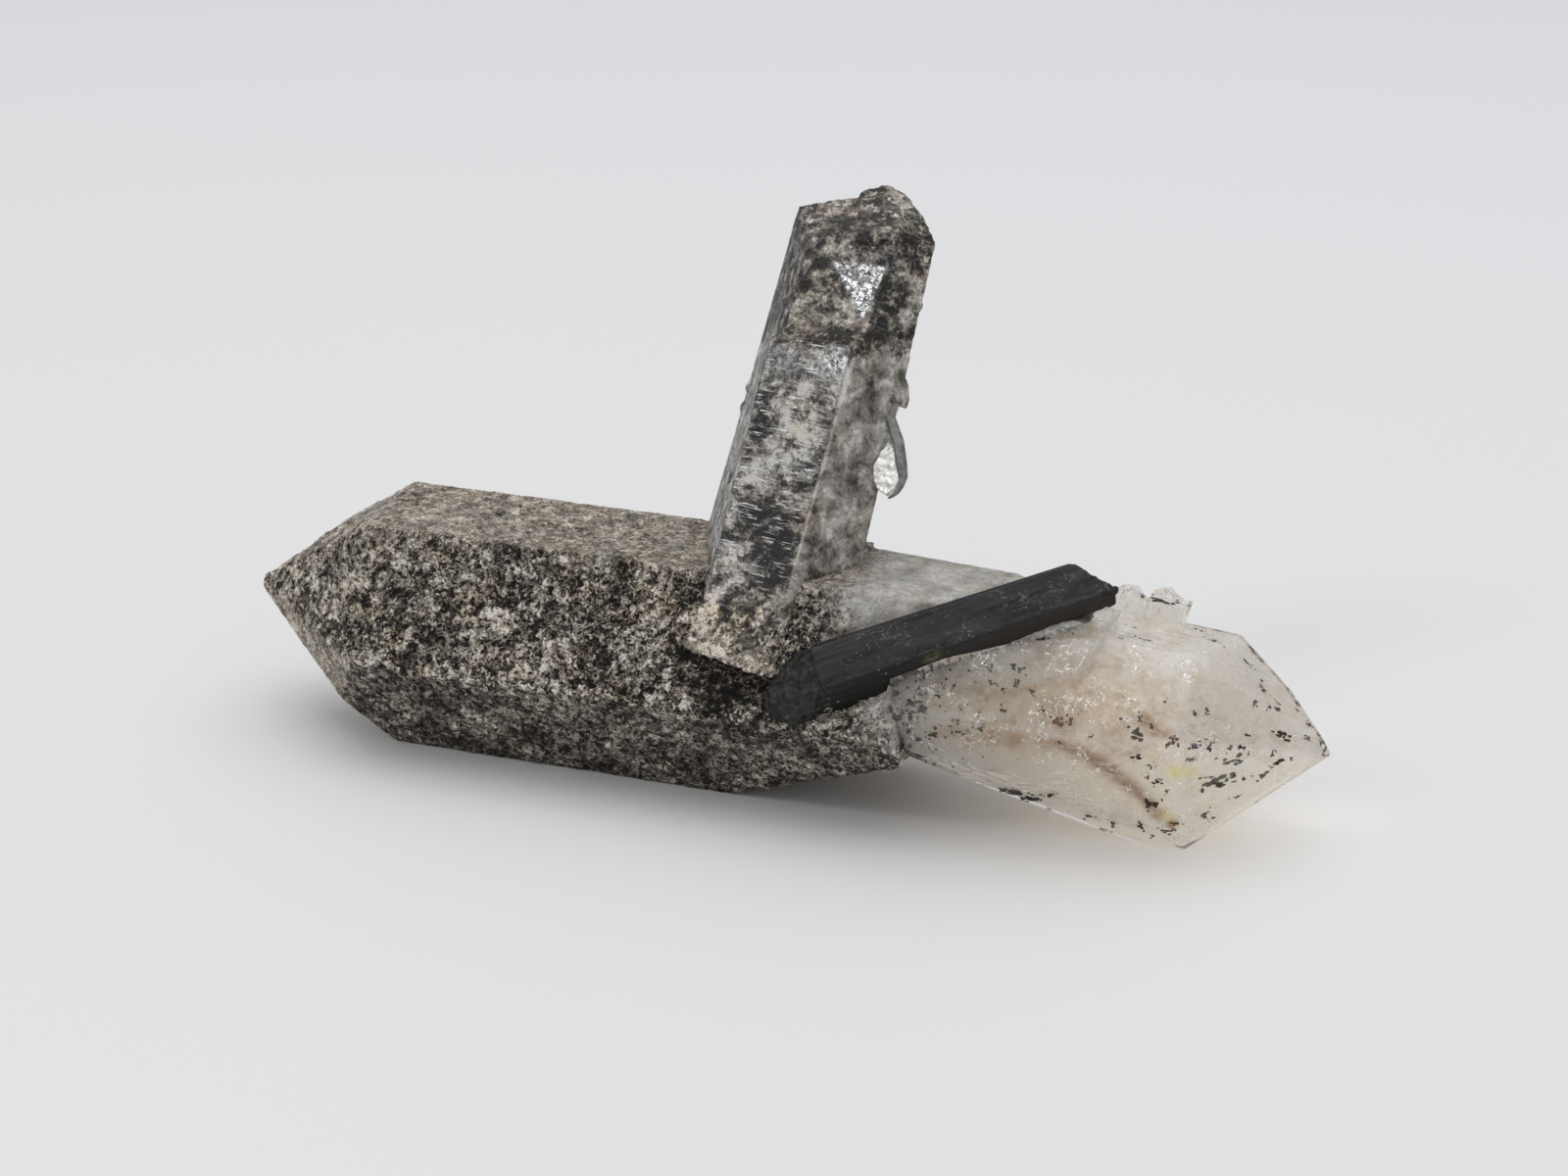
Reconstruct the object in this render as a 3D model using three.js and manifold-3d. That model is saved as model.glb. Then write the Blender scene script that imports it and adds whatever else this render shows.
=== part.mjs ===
// A double terminated quartz crystal lying on one prism face, with a second crystal standing on it
// at the Japan law angle, a few small crystals, and a black rod of tourmaline half sunk in its top.
// Millimetres, +Z up. While it is built, X runs along the long crystal towards its clear end,
// Y points away from the front, and Z = 0 is the surface that it rests on.
import * as THREE from 'three';
import { ConvexGeometry } from 'three/addons/geometries/ConvexGeometry.js';
import { mergeVertices } from 'three/addons/utils/BufferGeometryUtils.js';
import Module from 'manifold-3d';

const wasm = await Module();
wasm.setup();

// Long crystal: how far each prism face stands from the crystal's axis, and where the axis lies
const AXIS_BACK = -2.1;
const AXIS_HEIGHT = 7.8;
const REACH = { top: 7.8, upperFront: 7.6, lowerFront: 8.1, bottom: 7.8, lowerBack: 7.8, upperBack: 8.2 };
const FACE_STEP = Math.PI / 3;

// Where each prism edge of the speckled half ends, along X, on the left and inside the clear half
const SPECKLED_LEFT = {
  topFront: -27.9,
  midFront: -27.2,
  bottomFront: -26.3,
  bottomBack: -27.2,
  midBack: -28.6,
  topBack: -28.9,
};
const SPECKLED_RIGHT = { topFront: 16.5, midFront: 13.2 };
const STRAIGHT_BACK = -4.0;

// Twin law: the standing crystal's axis makes this angle with the long one, in the upper front face
const TWIN_ANGLE = THREE.MathUtils.degToRad(84.55);
const UPPER_FRONT_TILT = Math.PI / 6;
const UPPER_FRONT_DEPTH = 13.3;

// Rod: run along the upper front face, and the gap that its bed keeps round it
const ROD_START = [6.7, -11.2, 10.4];
const ROD_END = [24.9, -6.0, 18.0];
const BED_GAP = 0.3;

// Relief of the speckled crust: how many grains stand up from each face and how many are missing
const RELIEF_SEED = 20;
const GRAIN = { least: 0.8, most: 1.9, proud: 0.35 };
const PIT = { least: 0.7, most: 1.7, deep: 0.45 };

function vector(point) {
  return point.isVector3 ? point.clone() : new THREE.Vector3(...point);
}

function toSolid(geometry) {
  const bare = geometry.clone();
  bare.deleteAttribute('normal');
  bare.deleteAttribute('uv');
  const merged = mergeVertices(bare, 1e-5);
  return new wasm.Manifold(new wasm.Mesh({
    numProp: 3,
    vertProperties: Float32Array.from(merged.attributes.position.array),
    triVerts: Uint32Array.from(merged.index.array),
  }));
}

function toGeometry(solid) {
  const mesh = solid.getMesh();
  const geometry = new THREE.BufferGeometry();
  geometry.setAttribute('position', new THREE.BufferAttribute(mesh.vertProperties, mesh.numProp));
  geometry.setIndex(new THREE.BufferAttribute(mesh.triVerts, 1));
  geometry.computeVertexNormals();
  return geometry;
}

function hull(points) {
  return toSolid(new ConvexGeometry(points.map(vector)));
}

function join(solids) {
  return solids.reduce((whole, solid) => whole.add(solid));
}

// A crystal's own directions: across its front face, out of that face, and along its axis
function frame(origin, across, out, along) {
  return { origin: vector(origin), across: vector(across), out: vector(out), along: vector(along) };
}

function inFrame(own, [across, out, along]) {
  return own.origin.clone()
    .addScaledVector(own.across, across)
    .addScaledVector(own.out, out)
    .addScaledVector(own.along, along);
}

function hullInFrame(own, points) {
  return hull(points.map((point) => inFrame(own, point)));
}

// The edge where two neighbouring prism faces meet, given how far each stands from the axis
function prismEdge(firstTurn, firstReach, secondReach) {
  const secondTurn = firstTurn + FACE_STEP;
  const spread = Math.sin(FACE_STEP);
  const forward = (firstReach * Math.sin(secondTurn) - secondReach * Math.sin(firstTurn)) / spread;
  const up = (secondReach * Math.cos(firstTurn) - firstReach * Math.cos(secondTurn)) / spread;
  return [AXIS_BACK - forward, AXIS_HEIGHT + up];
}

// Prism edges of the long crystal as [y, z]. A turn of 0 faces forward and a quarter turn faces up
function longCrystalEdges() {
  const quarter = Math.PI / 2;
  return {
    topFront: prismEdge(quarter - FACE_STEP, REACH.upperFront, REACH.top),
    midFront: prismEdge(quarter - 2 * FACE_STEP, REACH.lowerFront, REACH.upperFront),
    bottomFront: prismEdge(-quarter, REACH.bottom, REACH.lowerFront),
    bottomBack: prismEdge(-quarter - FACE_STEP, REACH.lowerBack, REACH.bottom),
    midBack: prismEdge(quarter + FACE_STEP, REACH.upperBack, REACH.lowerBack),
    topBack: prismEdge(quarter, REACH.top, REACH.upperBack),
  };
}

const EDGES = longCrystalEdges();

function onEdge(name, x) {
  return [x, ...EDGES[name]];
}

// Speckled half: six prism edges that end in a blunt six-sided point on the left
function speckledHalf() {
  const leftEnds = Object.entries(SPECKLED_LEFT).map(([name, x]) => onEdge(name, x));
  const point = [[-38.6, -2.5, 8.9], [-38.4, -2.7, 8.1]];
  const lowerFrontCorner = [-29.2, -9.0, 3.5];
  const upperBackCorner = [-33.4, 0.6, 12.9];
  const rightEnd = [
    onEdge('topFront', SPECKLED_RIGHT.topFront),
    onEdge('midFront', SPECKLED_RIGHT.midFront),
    [16.5, 0.6, 15.6],
    [14.0, 5.6, 8.2],
    [12.0, 2.4, 0.0],
    [12.0, -7.0, 0.0],
  ];
  const straightUpTo = ['topBack', 'midBack', 'bottomBack'].map((name) => onEdge(name, STRAIGHT_BACK));
  return hull([...leftEnds, ...point, lowerFrontCorner, upperBackCorner, ...straightUpTo, ...rightEnd]);
}

// Clear half: narrower, dipping a little, and ending in a blunt point on the right
function clearHalf() {
  const shoulder = [
    [31.0, 2.9, 12.5],
    [29.7, -4.4, 13.7],
    [29.6, -8.2, 8.9],
    [29.6, -4.9, 0.0],
    [29.3, 2.0, 0.0],
    [30.2, 5.2, 6.6],
  ];
  const point = [[37.6, -0.9, 7.7], [38.2, -1.4, 7.0], [38.2, -1.5, 6.7]];
  const backRidge = [34.9, 1.2, 9.8];
  const root = [
    [7.0, 1.2, 15.2],
    [7.0, -6.4, 15.2],
    [7.0, -10.9, 7.8],
    [7.0, -7.0, 0.4],
    [7.0, 2.4, 0.4],
    [7.0, 6.6, 8.1],
  ];
  return hull([...shoulder, ...point, backRidge, ...root]);
}

// Raised shoulder of quartz that carries the rod over the clear half
function rodShoulder() {
  return hull([
    [10.0, -10.3, 8.9],
    [19.9, -8.0, 12.6],
    [23.3, -7.6, 12.4],
    [24.2, -4.9, 14.9],
    [24.0, -1.2, 14.7],
    [16.5, -6.2, 15.6],
    [16.5, 0.5, 15.6],
    [9.0, -2.0, 7.0],
    [22.0, -2.0, 9.0],
  ]);
}

// The underside is open between the two halves, where the crystal grew against rock
function undersideHollow() {
  const front = -14.0;
  const back = 10.0;
  const profile = [[-0.8, 0.0], [12.9, 5.4], [25.4, 0.0], [24.0, -3.0], [2.0, -3.0]];
  return hull(profile.flatMap(([x, z]) => [[x, front, z], [x, back, z + 0.6]]));
}

// Rough oblique face on the clear half, low at the front
function obliqueFront() {
  const facing = new THREE.Vector3(-0.01, -0.76, -0.65).normalize();
  const reach = 3.6;
  const slab = new THREE.BoxGeometry(26, 20, 8);
  const turn = new THREE.Quaternion().setFromUnitVectors(new THREE.Vector3(0, 0, 1), facing);
  slab.applyQuaternion(turn);
  const middle = facing.clone().multiplyScalar(reach + 4).add(new THREE.Vector3(24, 0, 0));
  slab.translate(middle.x, middle.y, middle.z);
  return toSolid(slab);
}

// Lip of speckled quartz that overhangs the start of the clear half
function lip() {
  return hull([
    [9.0, -11.0, 7.9],
    [12.9, -11.6, 9.0],
    [13.7, -11.3, 8.6],
    [13.6, -11.2, 7.0],
    [12.7, -10.6, 5.6],
    [10.0, -10.6, 6.4],
    [12.0, -8.0, 8.0],
  ]);
}

// Directions of the standing crystal, whose front face is parallel to the long one's upper front
const OUT = new THREE.Vector3(0, -Math.cos(UPPER_FRONT_TILT), Math.sin(UPPER_FRONT_TILT));
const UP_THE_FACE = new THREE.Vector3(0, Math.sin(UPPER_FRONT_TILT), Math.cos(UPPER_FRONT_TILT));
const STANDING_AXIS = new THREE.Vector3(Math.cos(TWIN_ANGLE), 0, 0)
  .addScaledVector(UP_THE_FACE, Math.sin(TWIN_ANGLE));
const STANDING = frame([0, 0, 0], STANDING_AXIS.clone().cross(OUT), OUT, STANDING_AXIS);

const LEDGE_OUT = 14.1;
const UPPER_OUT = 13.25;

// Section of the standing crystal as [across, out], clockwise from its front left edge
function standingSection(out, taper) {
  return [
    [-3.3 + 0.2 * taper, out],
    [2.15 - 0.2 * taper, out],
    [5.1 - 0.8 * taper, 9.3 + 1.2 * taper],
    [1.8 - 0.6 * taper, 3.6 + 0.6 * taper],
    [-5.0 + 0.4 * taper, 3.6 + 0.6 * taper],
    [-7.3 + 0.4 * taper, 7.1 + 0.4 * taper],
  ];
}

function standingRing(out, taper, along) {
  return standingSection(out, taper).map(([across, away]) => [across, away, along]);
}

// Lower length, up to the ledge that crosses its front face
function standingLower() {
  const ledge = [
    [-3.9, LEDGE_OUT - 0.3, 25.5],
    [-2.9, LEDGE_OUT, 25.7],
    [1.9, LEDGE_OUT, 26.6],
    [-3.4, UPPER_OUT, 26.6],
    [1.9, UPPER_OUT, 27.6],
    [4.6, 10.0, 27.4],
    [1.4, 4.0, 27.4],
    [-4.8, 4.0, 27.4],
    [-7.0, 7.4, 27.4],
  ];
  return hullInFrame(STANDING, [...standingRing(LEDGE_OUT, 0, 8.0), ...ledge]);
}

// Upper length, set back from the ledge, with a broken slope for a top
function standingUpper() {
  const rim = [
    [-3.4, UPPER_OUT - 0.2, 33.5],
    [-0.6, UPPER_OUT - 0.2, 34.2],
    [2.2, 12.5, 35.2],
    [-6.7, 8.2, 35.0],
    [4.4, 10.5, 35.2],
    [-4.7, 4.4, 33.8],
    [1.2, 4.4, 33.4],
  ];
  const crest = [[-5.9, 10.2, 35.9], [-3.7, 10.2, 36.7], [-2.1, 9.6, 37.4], [1.5, 9.8, 36.9]];
  const base = standingRing(UPPER_OUT, 0.5, 22.0);
  return hullInFrame(STANDING, [...base, ...rim, ...crest]);
}

// Knob that stays up on the right of the broken top
function topKnob() {
  return hullInFrame(STANDING, [
    [-1.9, 10.4, 37.7],
    [-0.3, 10.0, 38.6],
    [0.9, 9.2, 38.3],
    [1.7, 10.4, 37.7],
    [3.4, 10.9, 36.5],
    [4.35, 10.6, 35.2],
    [2.2, 12.2, 35.3],
    [-0.6, 12.3, 35.0],
    [-2.4, 9.0, 35.0],
    [0.2, 6.5, 35.5],
    [2.6, 7.6, 34.6],
  ]);
}

// Triangular facet and the hollow above it, cut in the right front edge near the top
function topFacet() {
  return hullInFrame(STANDING, [
    [1.65, 12.9, 28.9],
    [-1.2, 13.0, 32.1],
    [2.0, 12.2, 32.6],
    [-1.1, 12.9, 33.3],
    [1.9, 12.3, 34.4],
    [1.2, 16.0, 28.5],
    [-1.4, 16.0, 32.1],
    [4.6, 13.6, 32.6],
    [-1.2, 16.0, 33.4],
    [3.6, 15.0, 34.4],
  ]);
}

// Foot of the standing crystal: a ledge that hangs over the long crystal's upper front face
function standingFoot() {
  return hullInFrame(STANDING, [
    [-3.9, UPPER_FRONT_DEPTH + 0.5, 4.6],
    [-3.0, LEDGE_OUT, 5.0],
    [-0.6, LEDGE_OUT + 0.1, 4.2],
    [2.1, LEDGE_OUT - 0.1, 4.0],
    [2.6, UPPER_FRONT_DEPTH + 0.1, 4.6],
    [-3.3, LEDGE_OUT, 9.5],
    [2.2, LEDGE_OUT, 9.5],
    [4.4, UPPER_FRONT_DEPTH - 2.2, 6.0],
    [5.0, 9.6, 10.0],
    [-3.6, 11.0, 6.0],
    [-4.6, 11.0, 11.0],
    [2.4, 10.0, 5.5],
  ]);
}

// Hollow under the foot, where the shadow is deepest
function footHollow() {
  return hullInFrame(STANDING, [
    [-3.6, UPPER_FRONT_DEPTH - 0.2, 4.7],
    [2.2, UPPER_FRONT_DEPTH - 0.2, 4.1],
    [-3.2, UPPER_FRONT_DEPTH + 0.6, 2.2],
    [2.4, UPPER_FRONT_DEPTH + 0.6, 1.2],
    [-3.8, UPPER_FRONT_DEPTH + 0.6, 4.0],
    [2.8, UPPER_FRONT_DEPTH + 0.6, 3.6],
    [-0.8, UPPER_FRONT_DEPTH - 0.7, 4.1],
    [1.2, UPPER_FRONT_DEPTH - 0.7, 3.6],
  ]);
}

// Small crystal with six sides and a point at its far end
function smallCrystal(start, end, width, face) {
  const from = vector(start);
  const along = vector(end).sub(from);
  const length = along.length();
  along.normalize();
  const across = vector(face).cross(along).normalize();
  const out = along.clone().cross(across);
  const own = frame(from, across, out, along);
  const ring = [];
  for (let side = 0; side < 6; side += 1) {
    const turn = side * FACE_STEP + FACE_STEP / 2;
    const radius = width / 2 * (side % 2 ? 1.0 : 0.86);
    const cut = length - width * (side % 2 ? 0.5 : 0.7);
    const corner = [radius * Math.cos(turn), radius * Math.sin(turn)];
    ring.push([...corner, 0], [...corner, cut]);
  }
  return hullInFrame(own, [...ring, [0.08 * width, 0, length]]);
}

// Slivers that hang on the right side of the standing crystal
function sideSlivers() {
  const tab = hullInFrame(STANDING, [
    [3.6, 9.8, 27.2],
    [4.9, 9.6, 25.6],
    [5.25, 9.6, 24.6],
    [5.1, 9.3, 24.0],
    [4.2, 9.4, 24.1],
    [3.4, 8.2, 25.5],
    [3.6, 11.0, 25.0],
    [4.6, 10.5, 24.3],
  ]);
  const bent = [[4.0, 10.2, 23.6], [5.3, 10.4, 22.0], [6.3, 10.5, 20.2], [6.1, 10.5, 19.0], [5.4, 10.5, 18.1]];
  const thickness = [0.5, 0.55, 0.5, 0.5, 0.3];
  const links = bent.slice(1).map((end, i) => hullInFrame(STANDING, [bent[i], end].flatMap(([w, n, u], k) => {
    const half = thickness[i + k];
    return [[w - half, n, u], [w + half, n, u], [w, n - half, u], [w, n + half, u]];
  })));
  const inner = smallCrystal(inFrame(STANDING, [4.4, 9.9, 21.6]), inFrame(STANDING, [5.2, 10.2, 17.9]), 1.5, OUT);
  return [tab, ...links, inner];
}

// Small clear crystals that stand behind the clear half's top edge
function backCrystals() {
  return [
    smallCrystal([22.6, 1.0, 11.0], [24.0, 3.6, 14.8], 3.0, [0, 0, 1]),
    smallCrystal([24.9, 0.6, 10.6], [26.3, 3.4, 15.1], 2.7, [0, 0, 1]),
  ];
}

// Rod of tourmaline: six sides, its top face parallel to the quartz face that it lies in
function rodFrame() {
  const start = vector(ROD_START);
  const along = vector(ROD_END).sub(start).normalize();
  const across = along.clone().cross(OUT).normalize();
  return frame(start, across, across.clone().cross(along), along);
}

// Section of the rod's two ends as [across, out, along], measured from its front top edge
const ROD_LEFT = [
  [-2.8, 0, 0.1],
  [0, 0, 0],
  [1.4, -2.3, -1.3],
  [0.5, -3.8, -3.2],
  [-2.6, -3.8, -4.0],
  [-3.5, -1.9, -1.6],
  [-3.1, -0.5, -0.6],
];
const ROD_RIGHT = [
  [-2.4, 0, -2.0],
  [0, 0, 0],
  [0.6, -1.2, -0.6],
  [-0.2, -3.0, -1.6],
  [-2.2, -3.0, -2.8],
  [-3.0, -1.6, -3.0],
  [-2.7, -0.4, -2.5],
];

// The rod, grown outwards by the bed's gap where its bed is cut
function rod(grow) {
  const own = rodFrame();
  const length = vector(ROD_END).sub(vector(ROD_START)).length();
  const middle = [-1.2, -1.8];
  const grown = ([across, out, along]) => {
    const away = [across - middle[0], out - middle[1]];
    const stretch = 1 + grow / Math.hypot(...away);
    return [middle[0] + away[0] * stretch, middle[1] + away[1] * stretch, along];
  };
  const left = ROD_LEFT.map(grown).map(([across, out, along]) => [across, out, along - grow]);
  const right = ROD_RIGHT.map(grown).map(([across, out, along]) => [across, out, length + along + grow]);
  return hullInFrame(own, [...left, ...right]);
}

// Repeatable numbers between 0 and 1 for the relief
function repeatable(seed) {
  let state = seed;
  return () => {
    state = (state * 1664525 + 1013904223) % 4294967296;
    return state / 4294967296;
  };
}

// A flat irregular grain or pit, lying on a face at a point
function chip(point, facing, size, height, next) {
  const facingUp = vector(facing).normalize();
  const side = new THREE.Vector3(1, 0.3, 0.2).cross(facingUp).normalize();
  const own = frame(point, side, facingUp, side.clone().cross(facingUp));
  const corners = [];
  const count = 5;
  for (let i = 0; i < count; i += 1) {
    const turn = (i + 0.5 * next()) * 2 * Math.PI / count;
    const reach = size * (0.35 + 0.2 * next());
    corners.push([reach * Math.cos(turn), 0, reach * Math.sin(turn)]);
  }
  const top = [size * 0.2 * (next() - 0.5), height, size * 0.2 * (next() - 0.5)];
  const under = [0, -height, 0];
  const slanted = [size * 0.22, height * 0.8, size * 0.1];
  return hullInFrame(own, [...corners, top, slanted, under]);
}

// Scatters chips over the flat patch between two prism edges of the long crystal
function scatterOnLong(first, second, from, to, count, kind, next) {
  const a = EDGES[first];
  const b = EDGES[second];
  const facing = new THREE.Vector3(0, b[1] - a[1], a[0] - b[0]);
  if (facing.dot(new THREE.Vector3(0, (a[0] + b[0]) / 2 - AXIS_BACK, (a[1] + b[1]) / 2 - AXIS_HEIGHT)) < 0) {
    facing.negate();
  }
  const chips = [];
  for (let i = 0; i < count; i += 1) {
    const share = 0.06 + 0.88 * next();
    const x = from + (to - from) * (i + next()) / count;
    const point = [x, a[0] + (b[0] - a[0]) * share, a[1] + (b[1] - a[1]) * share];
    const size = kind.least + (kind.most - kind.least) * next();
    chips.push(chip(point, facing, size, kind.proud ?? kind.deep, next));
  }
  return chips;
}

// Chips along one side of the standing crystal
function scatterOnStanding(first, second, from, to, count, kind, next) {
  const chips = [];
  for (let i = 0; i < count; i += 1) {
    const share = 0.08 + 0.84 * next();
    const along = from + (to - from) * (i + next()) / count;
    const section = standingSection(along < 26 ? LEDGE_OUT : UPPER_OUT, (along - 8.0) / 30.0);
    const a = section[first];
    const b = section[second];
    const facing = inFrame(STANDING, [a[1] - b[1], b[0] - a[0], 0]).normalize();
    const point = inFrame(STANDING, [a[0] + (b[0] - a[0]) * share, a[1] + (b[1] - a[1]) * share, along]);
    const size = kind.least + (kind.most - kind.least) * next();
    chips.push(chip(point, facing, size, kind.proud ?? kind.deep, next));
  }
  return chips;
}

function reliefChips(kind, seed) {
  const next = repeatable(seed);
  return [
    ...scatterOnLong('topFront', 'midFront', -26.5, -5.0, 22, kind, next),
    ...scatterOnLong('midFront', 'bottomFront', -26.0, -1.5, 15, kind, next),
    ...scatterOnLong('topFront', 'topBack', -27.0, -9.0, 10, kind, next),
    ...scatterOnLong('topBack', 'midBack', -27.0, -5.0, 14, kind, next),
    ...scatterOnLong('midBack', 'bottomBack', -26.0, -5.0, 13, kind, next),
    ...scatterOnStanding(5, 0, 15.5, 23.5, 6, kind, next),
    ...scatterOnStanding(3, 4, 16.0, 32.0, 6, kind, next),
    ...scatterOnStanding(4, 5, 16.0, 32.0, 5, kind, next),
    ...scatterOnStanding(2, 3, 16.0, 32.0, 6, kind, next),
  ];
}

// The whole quartz specimen, grown together as one piece
function quartz() {
  const clear = clearHalf().subtract(obliqueFront());
  const long = join([speckledHalf(), clear, rodShoulder(), lip()]).subtract(undersideHollow());
  const standing = join([standingLower(), standingUpper(), topKnob(), standingFoot()]).subtract(topFacet());
  const body = long.subtract(footHollow()).add(standing);
  const grained = join([body, ...reliefChips(GRAIN, RELIEF_SEED)]);
  const pitted = reliefChips(PIT, RELIEF_SEED + 1).reduce((whole, pit) => whole.subtract(pit), grained);
  return join([pitted, ...sideSlivers(), ...backCrystals()]).subtract(rod(BED_GAP));
}

function named(name, solid, material) {
  const mesh = new THREE.Mesh(toGeometry(solid), material);
  mesh.name = name;
  return mesh;
}

const quartzMaterial = new THREE.MeshStandardMaterial({ color: 0x8f8a84, roughness: 0.55, metalness: 0 });
const rodMaterial = new THREE.MeshStandardMaterial({ color: 0x24262b, roughness: 0.35, metalness: 0 });

const specimen = new THREE.Group();
specimen.add(named('quartz_crystals', quartz(), quartzMaterial));
specimen.add(named('black_tourmaline_rod', rod(0), rodMaterial));

// The finished specimen stands on the middle of its own footprint
const extent = new THREE.Box3().setFromObject(specimen);
const middle = extent.getCenter(new THREE.Vector3());
specimen.position.set(-middle.x, -middle.y, -extent.min.z);

export default specimen;
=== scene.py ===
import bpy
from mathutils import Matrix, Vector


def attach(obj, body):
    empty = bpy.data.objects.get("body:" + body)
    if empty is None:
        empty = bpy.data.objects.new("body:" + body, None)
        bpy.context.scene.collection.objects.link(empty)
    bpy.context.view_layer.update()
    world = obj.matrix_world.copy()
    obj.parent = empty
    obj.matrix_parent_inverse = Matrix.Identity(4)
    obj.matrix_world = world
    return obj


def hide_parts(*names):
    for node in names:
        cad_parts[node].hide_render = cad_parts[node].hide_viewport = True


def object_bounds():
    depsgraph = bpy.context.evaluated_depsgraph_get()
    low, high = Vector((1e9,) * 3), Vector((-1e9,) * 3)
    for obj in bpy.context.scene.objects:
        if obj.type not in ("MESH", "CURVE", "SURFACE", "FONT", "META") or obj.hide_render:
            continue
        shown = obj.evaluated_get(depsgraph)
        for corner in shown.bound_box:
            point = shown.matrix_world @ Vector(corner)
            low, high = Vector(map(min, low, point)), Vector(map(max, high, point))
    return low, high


bl_info = {
    "name": "Twinned quartz specimen",
    "version": (1, 0, 0),
    "blender": (4, 5, 0),
    "location": "View3D > Sidebar > Specimen",
    "description": "Speckled and clear quartz crystals with a black rod, dressed on their packed solids",
    "category": "Object",
}

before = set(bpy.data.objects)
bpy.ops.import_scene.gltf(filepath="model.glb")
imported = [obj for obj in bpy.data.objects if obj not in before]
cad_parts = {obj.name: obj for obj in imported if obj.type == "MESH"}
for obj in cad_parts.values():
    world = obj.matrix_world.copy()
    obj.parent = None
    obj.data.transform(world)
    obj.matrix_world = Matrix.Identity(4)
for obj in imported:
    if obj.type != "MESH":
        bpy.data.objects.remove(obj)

import math
from contextlib import contextmanager

import bpy
import numpy as np
from mathutils import Vector, noise

CAD_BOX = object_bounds()
MM = 0.001

# The part was drawn with X along the long crystal, -Y to the front and the table at Z = 0.
# These two numbers say where its box began in that drawing, so its millimetres can be used here.
DRAWN_LEFT = -38.6
DRAWN_FRONT = -11.6
ORIGIN = Vector((CAD_BOX[0].x - DRAWN_LEFT * MM, CAD_BOX[0].y - DRAWN_FRONT * MM, 0.0))

# Directions of the standing crystal: out of its front face, up its axis, and across the face
TWIN_ANGLE = math.radians(84.55)
OUT = Vector((0.0, -math.cos(math.radians(30)), math.sin(math.radians(30))))
UP_THE_FACE = Vector((0.0, math.sin(math.radians(30)), math.cos(math.radians(30))))
AXIS = Vector((math.cos(TWIN_ANGLE), 0.0, 0.0)) + UP_THE_FACE * math.sin(TWIN_ANGLE)
ACROSS = AXIS.cross(OUT)
# Along this the rod's broken end and the notch in front of it are drawn forward
FORWARD = Vector((0.33, -0.87, 0.36))

# The wall between the speckled and the clear half stands straight up to this height, in
# millimetres, and then leans back over the clear half by this much for each one of height
WALL_FOOT = 11.2
WALL_LEAN = 2.9

MERGE_DISTANCE = 2e-6
CUT_THRESHOLD = 1e-7
WEIGHT_STEPS = 20
# A corner of a six-sided section moves this much for each millimetre that its sides move
CORNER_SHARE = 1.15


def drawn(x, y, z):
    """A point given in the drawing's millimetres."""
    return ORIGIN + Vector((x, y, z)) * MM


def on_standing(across, out, along):
    """A point given in the standing crystal's own millimetres."""
    return ORIGIN + (ACROSS * across + OUT * out + AXIS * along) * MM


# ---------------------------------------------------------------- modelling


def only(piece):
    """Selects one piece and nothing else."""
    bpy.ops.object.select_all(action="DESELECT")
    piece.select_set(True)
    bpy.context.view_layer.objects.active = piece


@contextmanager
def editing(piece):
    """Edit mode with the whole mesh selected."""
    only(piece)
    bpy.ops.object.mode_set(mode="EDIT")
    bpy.ops.mesh.select_all(action="SELECT")
    yield
    bpy.ops.object.mode_set(mode="OBJECT")


def settle(piece):
    """Puts the piece's place, turn and size into its mesh."""
    only(piece)
    bpy.ops.object.transform_apply(location=True, rotation=True, scale=True)
    return piece


def named(name):
    piece = bpy.context.view_layer.objects.active
    piece.name = piece.data.name = name
    return piece


def added(name, data):
    """A new object in the scene that holds this mesh, light or camera."""
    piece = bpy.data.objects.new(name, data)
    bpy.context.scene.collection.objects.link(piece)
    return piece


def solid_copy(node, name):
    """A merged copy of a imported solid."""
    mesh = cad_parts[node].data.copy()
    mesh.materials.clear()
    piece = added(name, mesh)
    with editing(piece):
        bpy.ops.mesh.remove_doubles(threshold=MERGE_DISTANCE)
        bpy.ops.mesh.customdata_custom_splitnormals_clear()
    return piece


def grown_rod(name, gap):
    """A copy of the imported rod, thicker by a gap in millimetres all round."""
    piece = solid_copy("black_tourmaline_rod", name)
    with editing(piece):
        bpy.ops.transform.shrink_fatten(value=gap * MM, use_even_offset=True)
    return piece


def block(name, low, high):
    """A cube from one drawn corner to the other."""
    low, high = drawn(*low), drawn(*high)
    bpy.ops.object.select_all(action="DESELECT")
    bpy.ops.mesh.primitive_cube_add(size=1.0, location=(low + high) / 2, scale=high - low)
    return settle(named(name))


def hull(name, points):
    """The closed solid that just holds all the points."""
    mesh = bpy.data.meshes.new(name)
    mesh.from_pydata([tuple(point) for point in points], [], [])
    piece = added(name, mesh)
    with editing(piece):
        bpy.ops.mesh.convex_hull()
    return piece


def prism(name, section, low, high):
    """A section, as across and out, drawn out along the standing crystal."""
    return hull(name, [on_standing(*corner, along) for corner in section for along in (low, high)])


def trim(piece, point, normal, inset=0.0):
    """Cuts away what lies beyond a plane and closes the cut."""
    normal = Vector(normal).normalized()
    place = Vector(point) - normal * inset * MM
    with editing(piece):
        bpy.ops.mesh.bisect(
            plane_co=place, plane_no=normal, use_fill=True, clear_outer=True, threshold=CUT_THRESHOLD,
        )


def trim_wall(piece, left, foot):
    """Cuts away what lies left of a wall that leans back above its foot."""
    trim(piece, drawn(left, 0, 0), (-1, 0, 0))
    trim(piece, drawn(left, 0, foot), (-1, 0, WALL_LEAN))


def apply_modifier(piece, kind, **settings):
    only(piece)
    modifier = piece.modifiers.new(kind.title(), kind)
    for key, value in settings.items():
        setattr(modifier, key, value)
    bpy.ops.object.modifier_apply(modifier=modifier.name)


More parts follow.
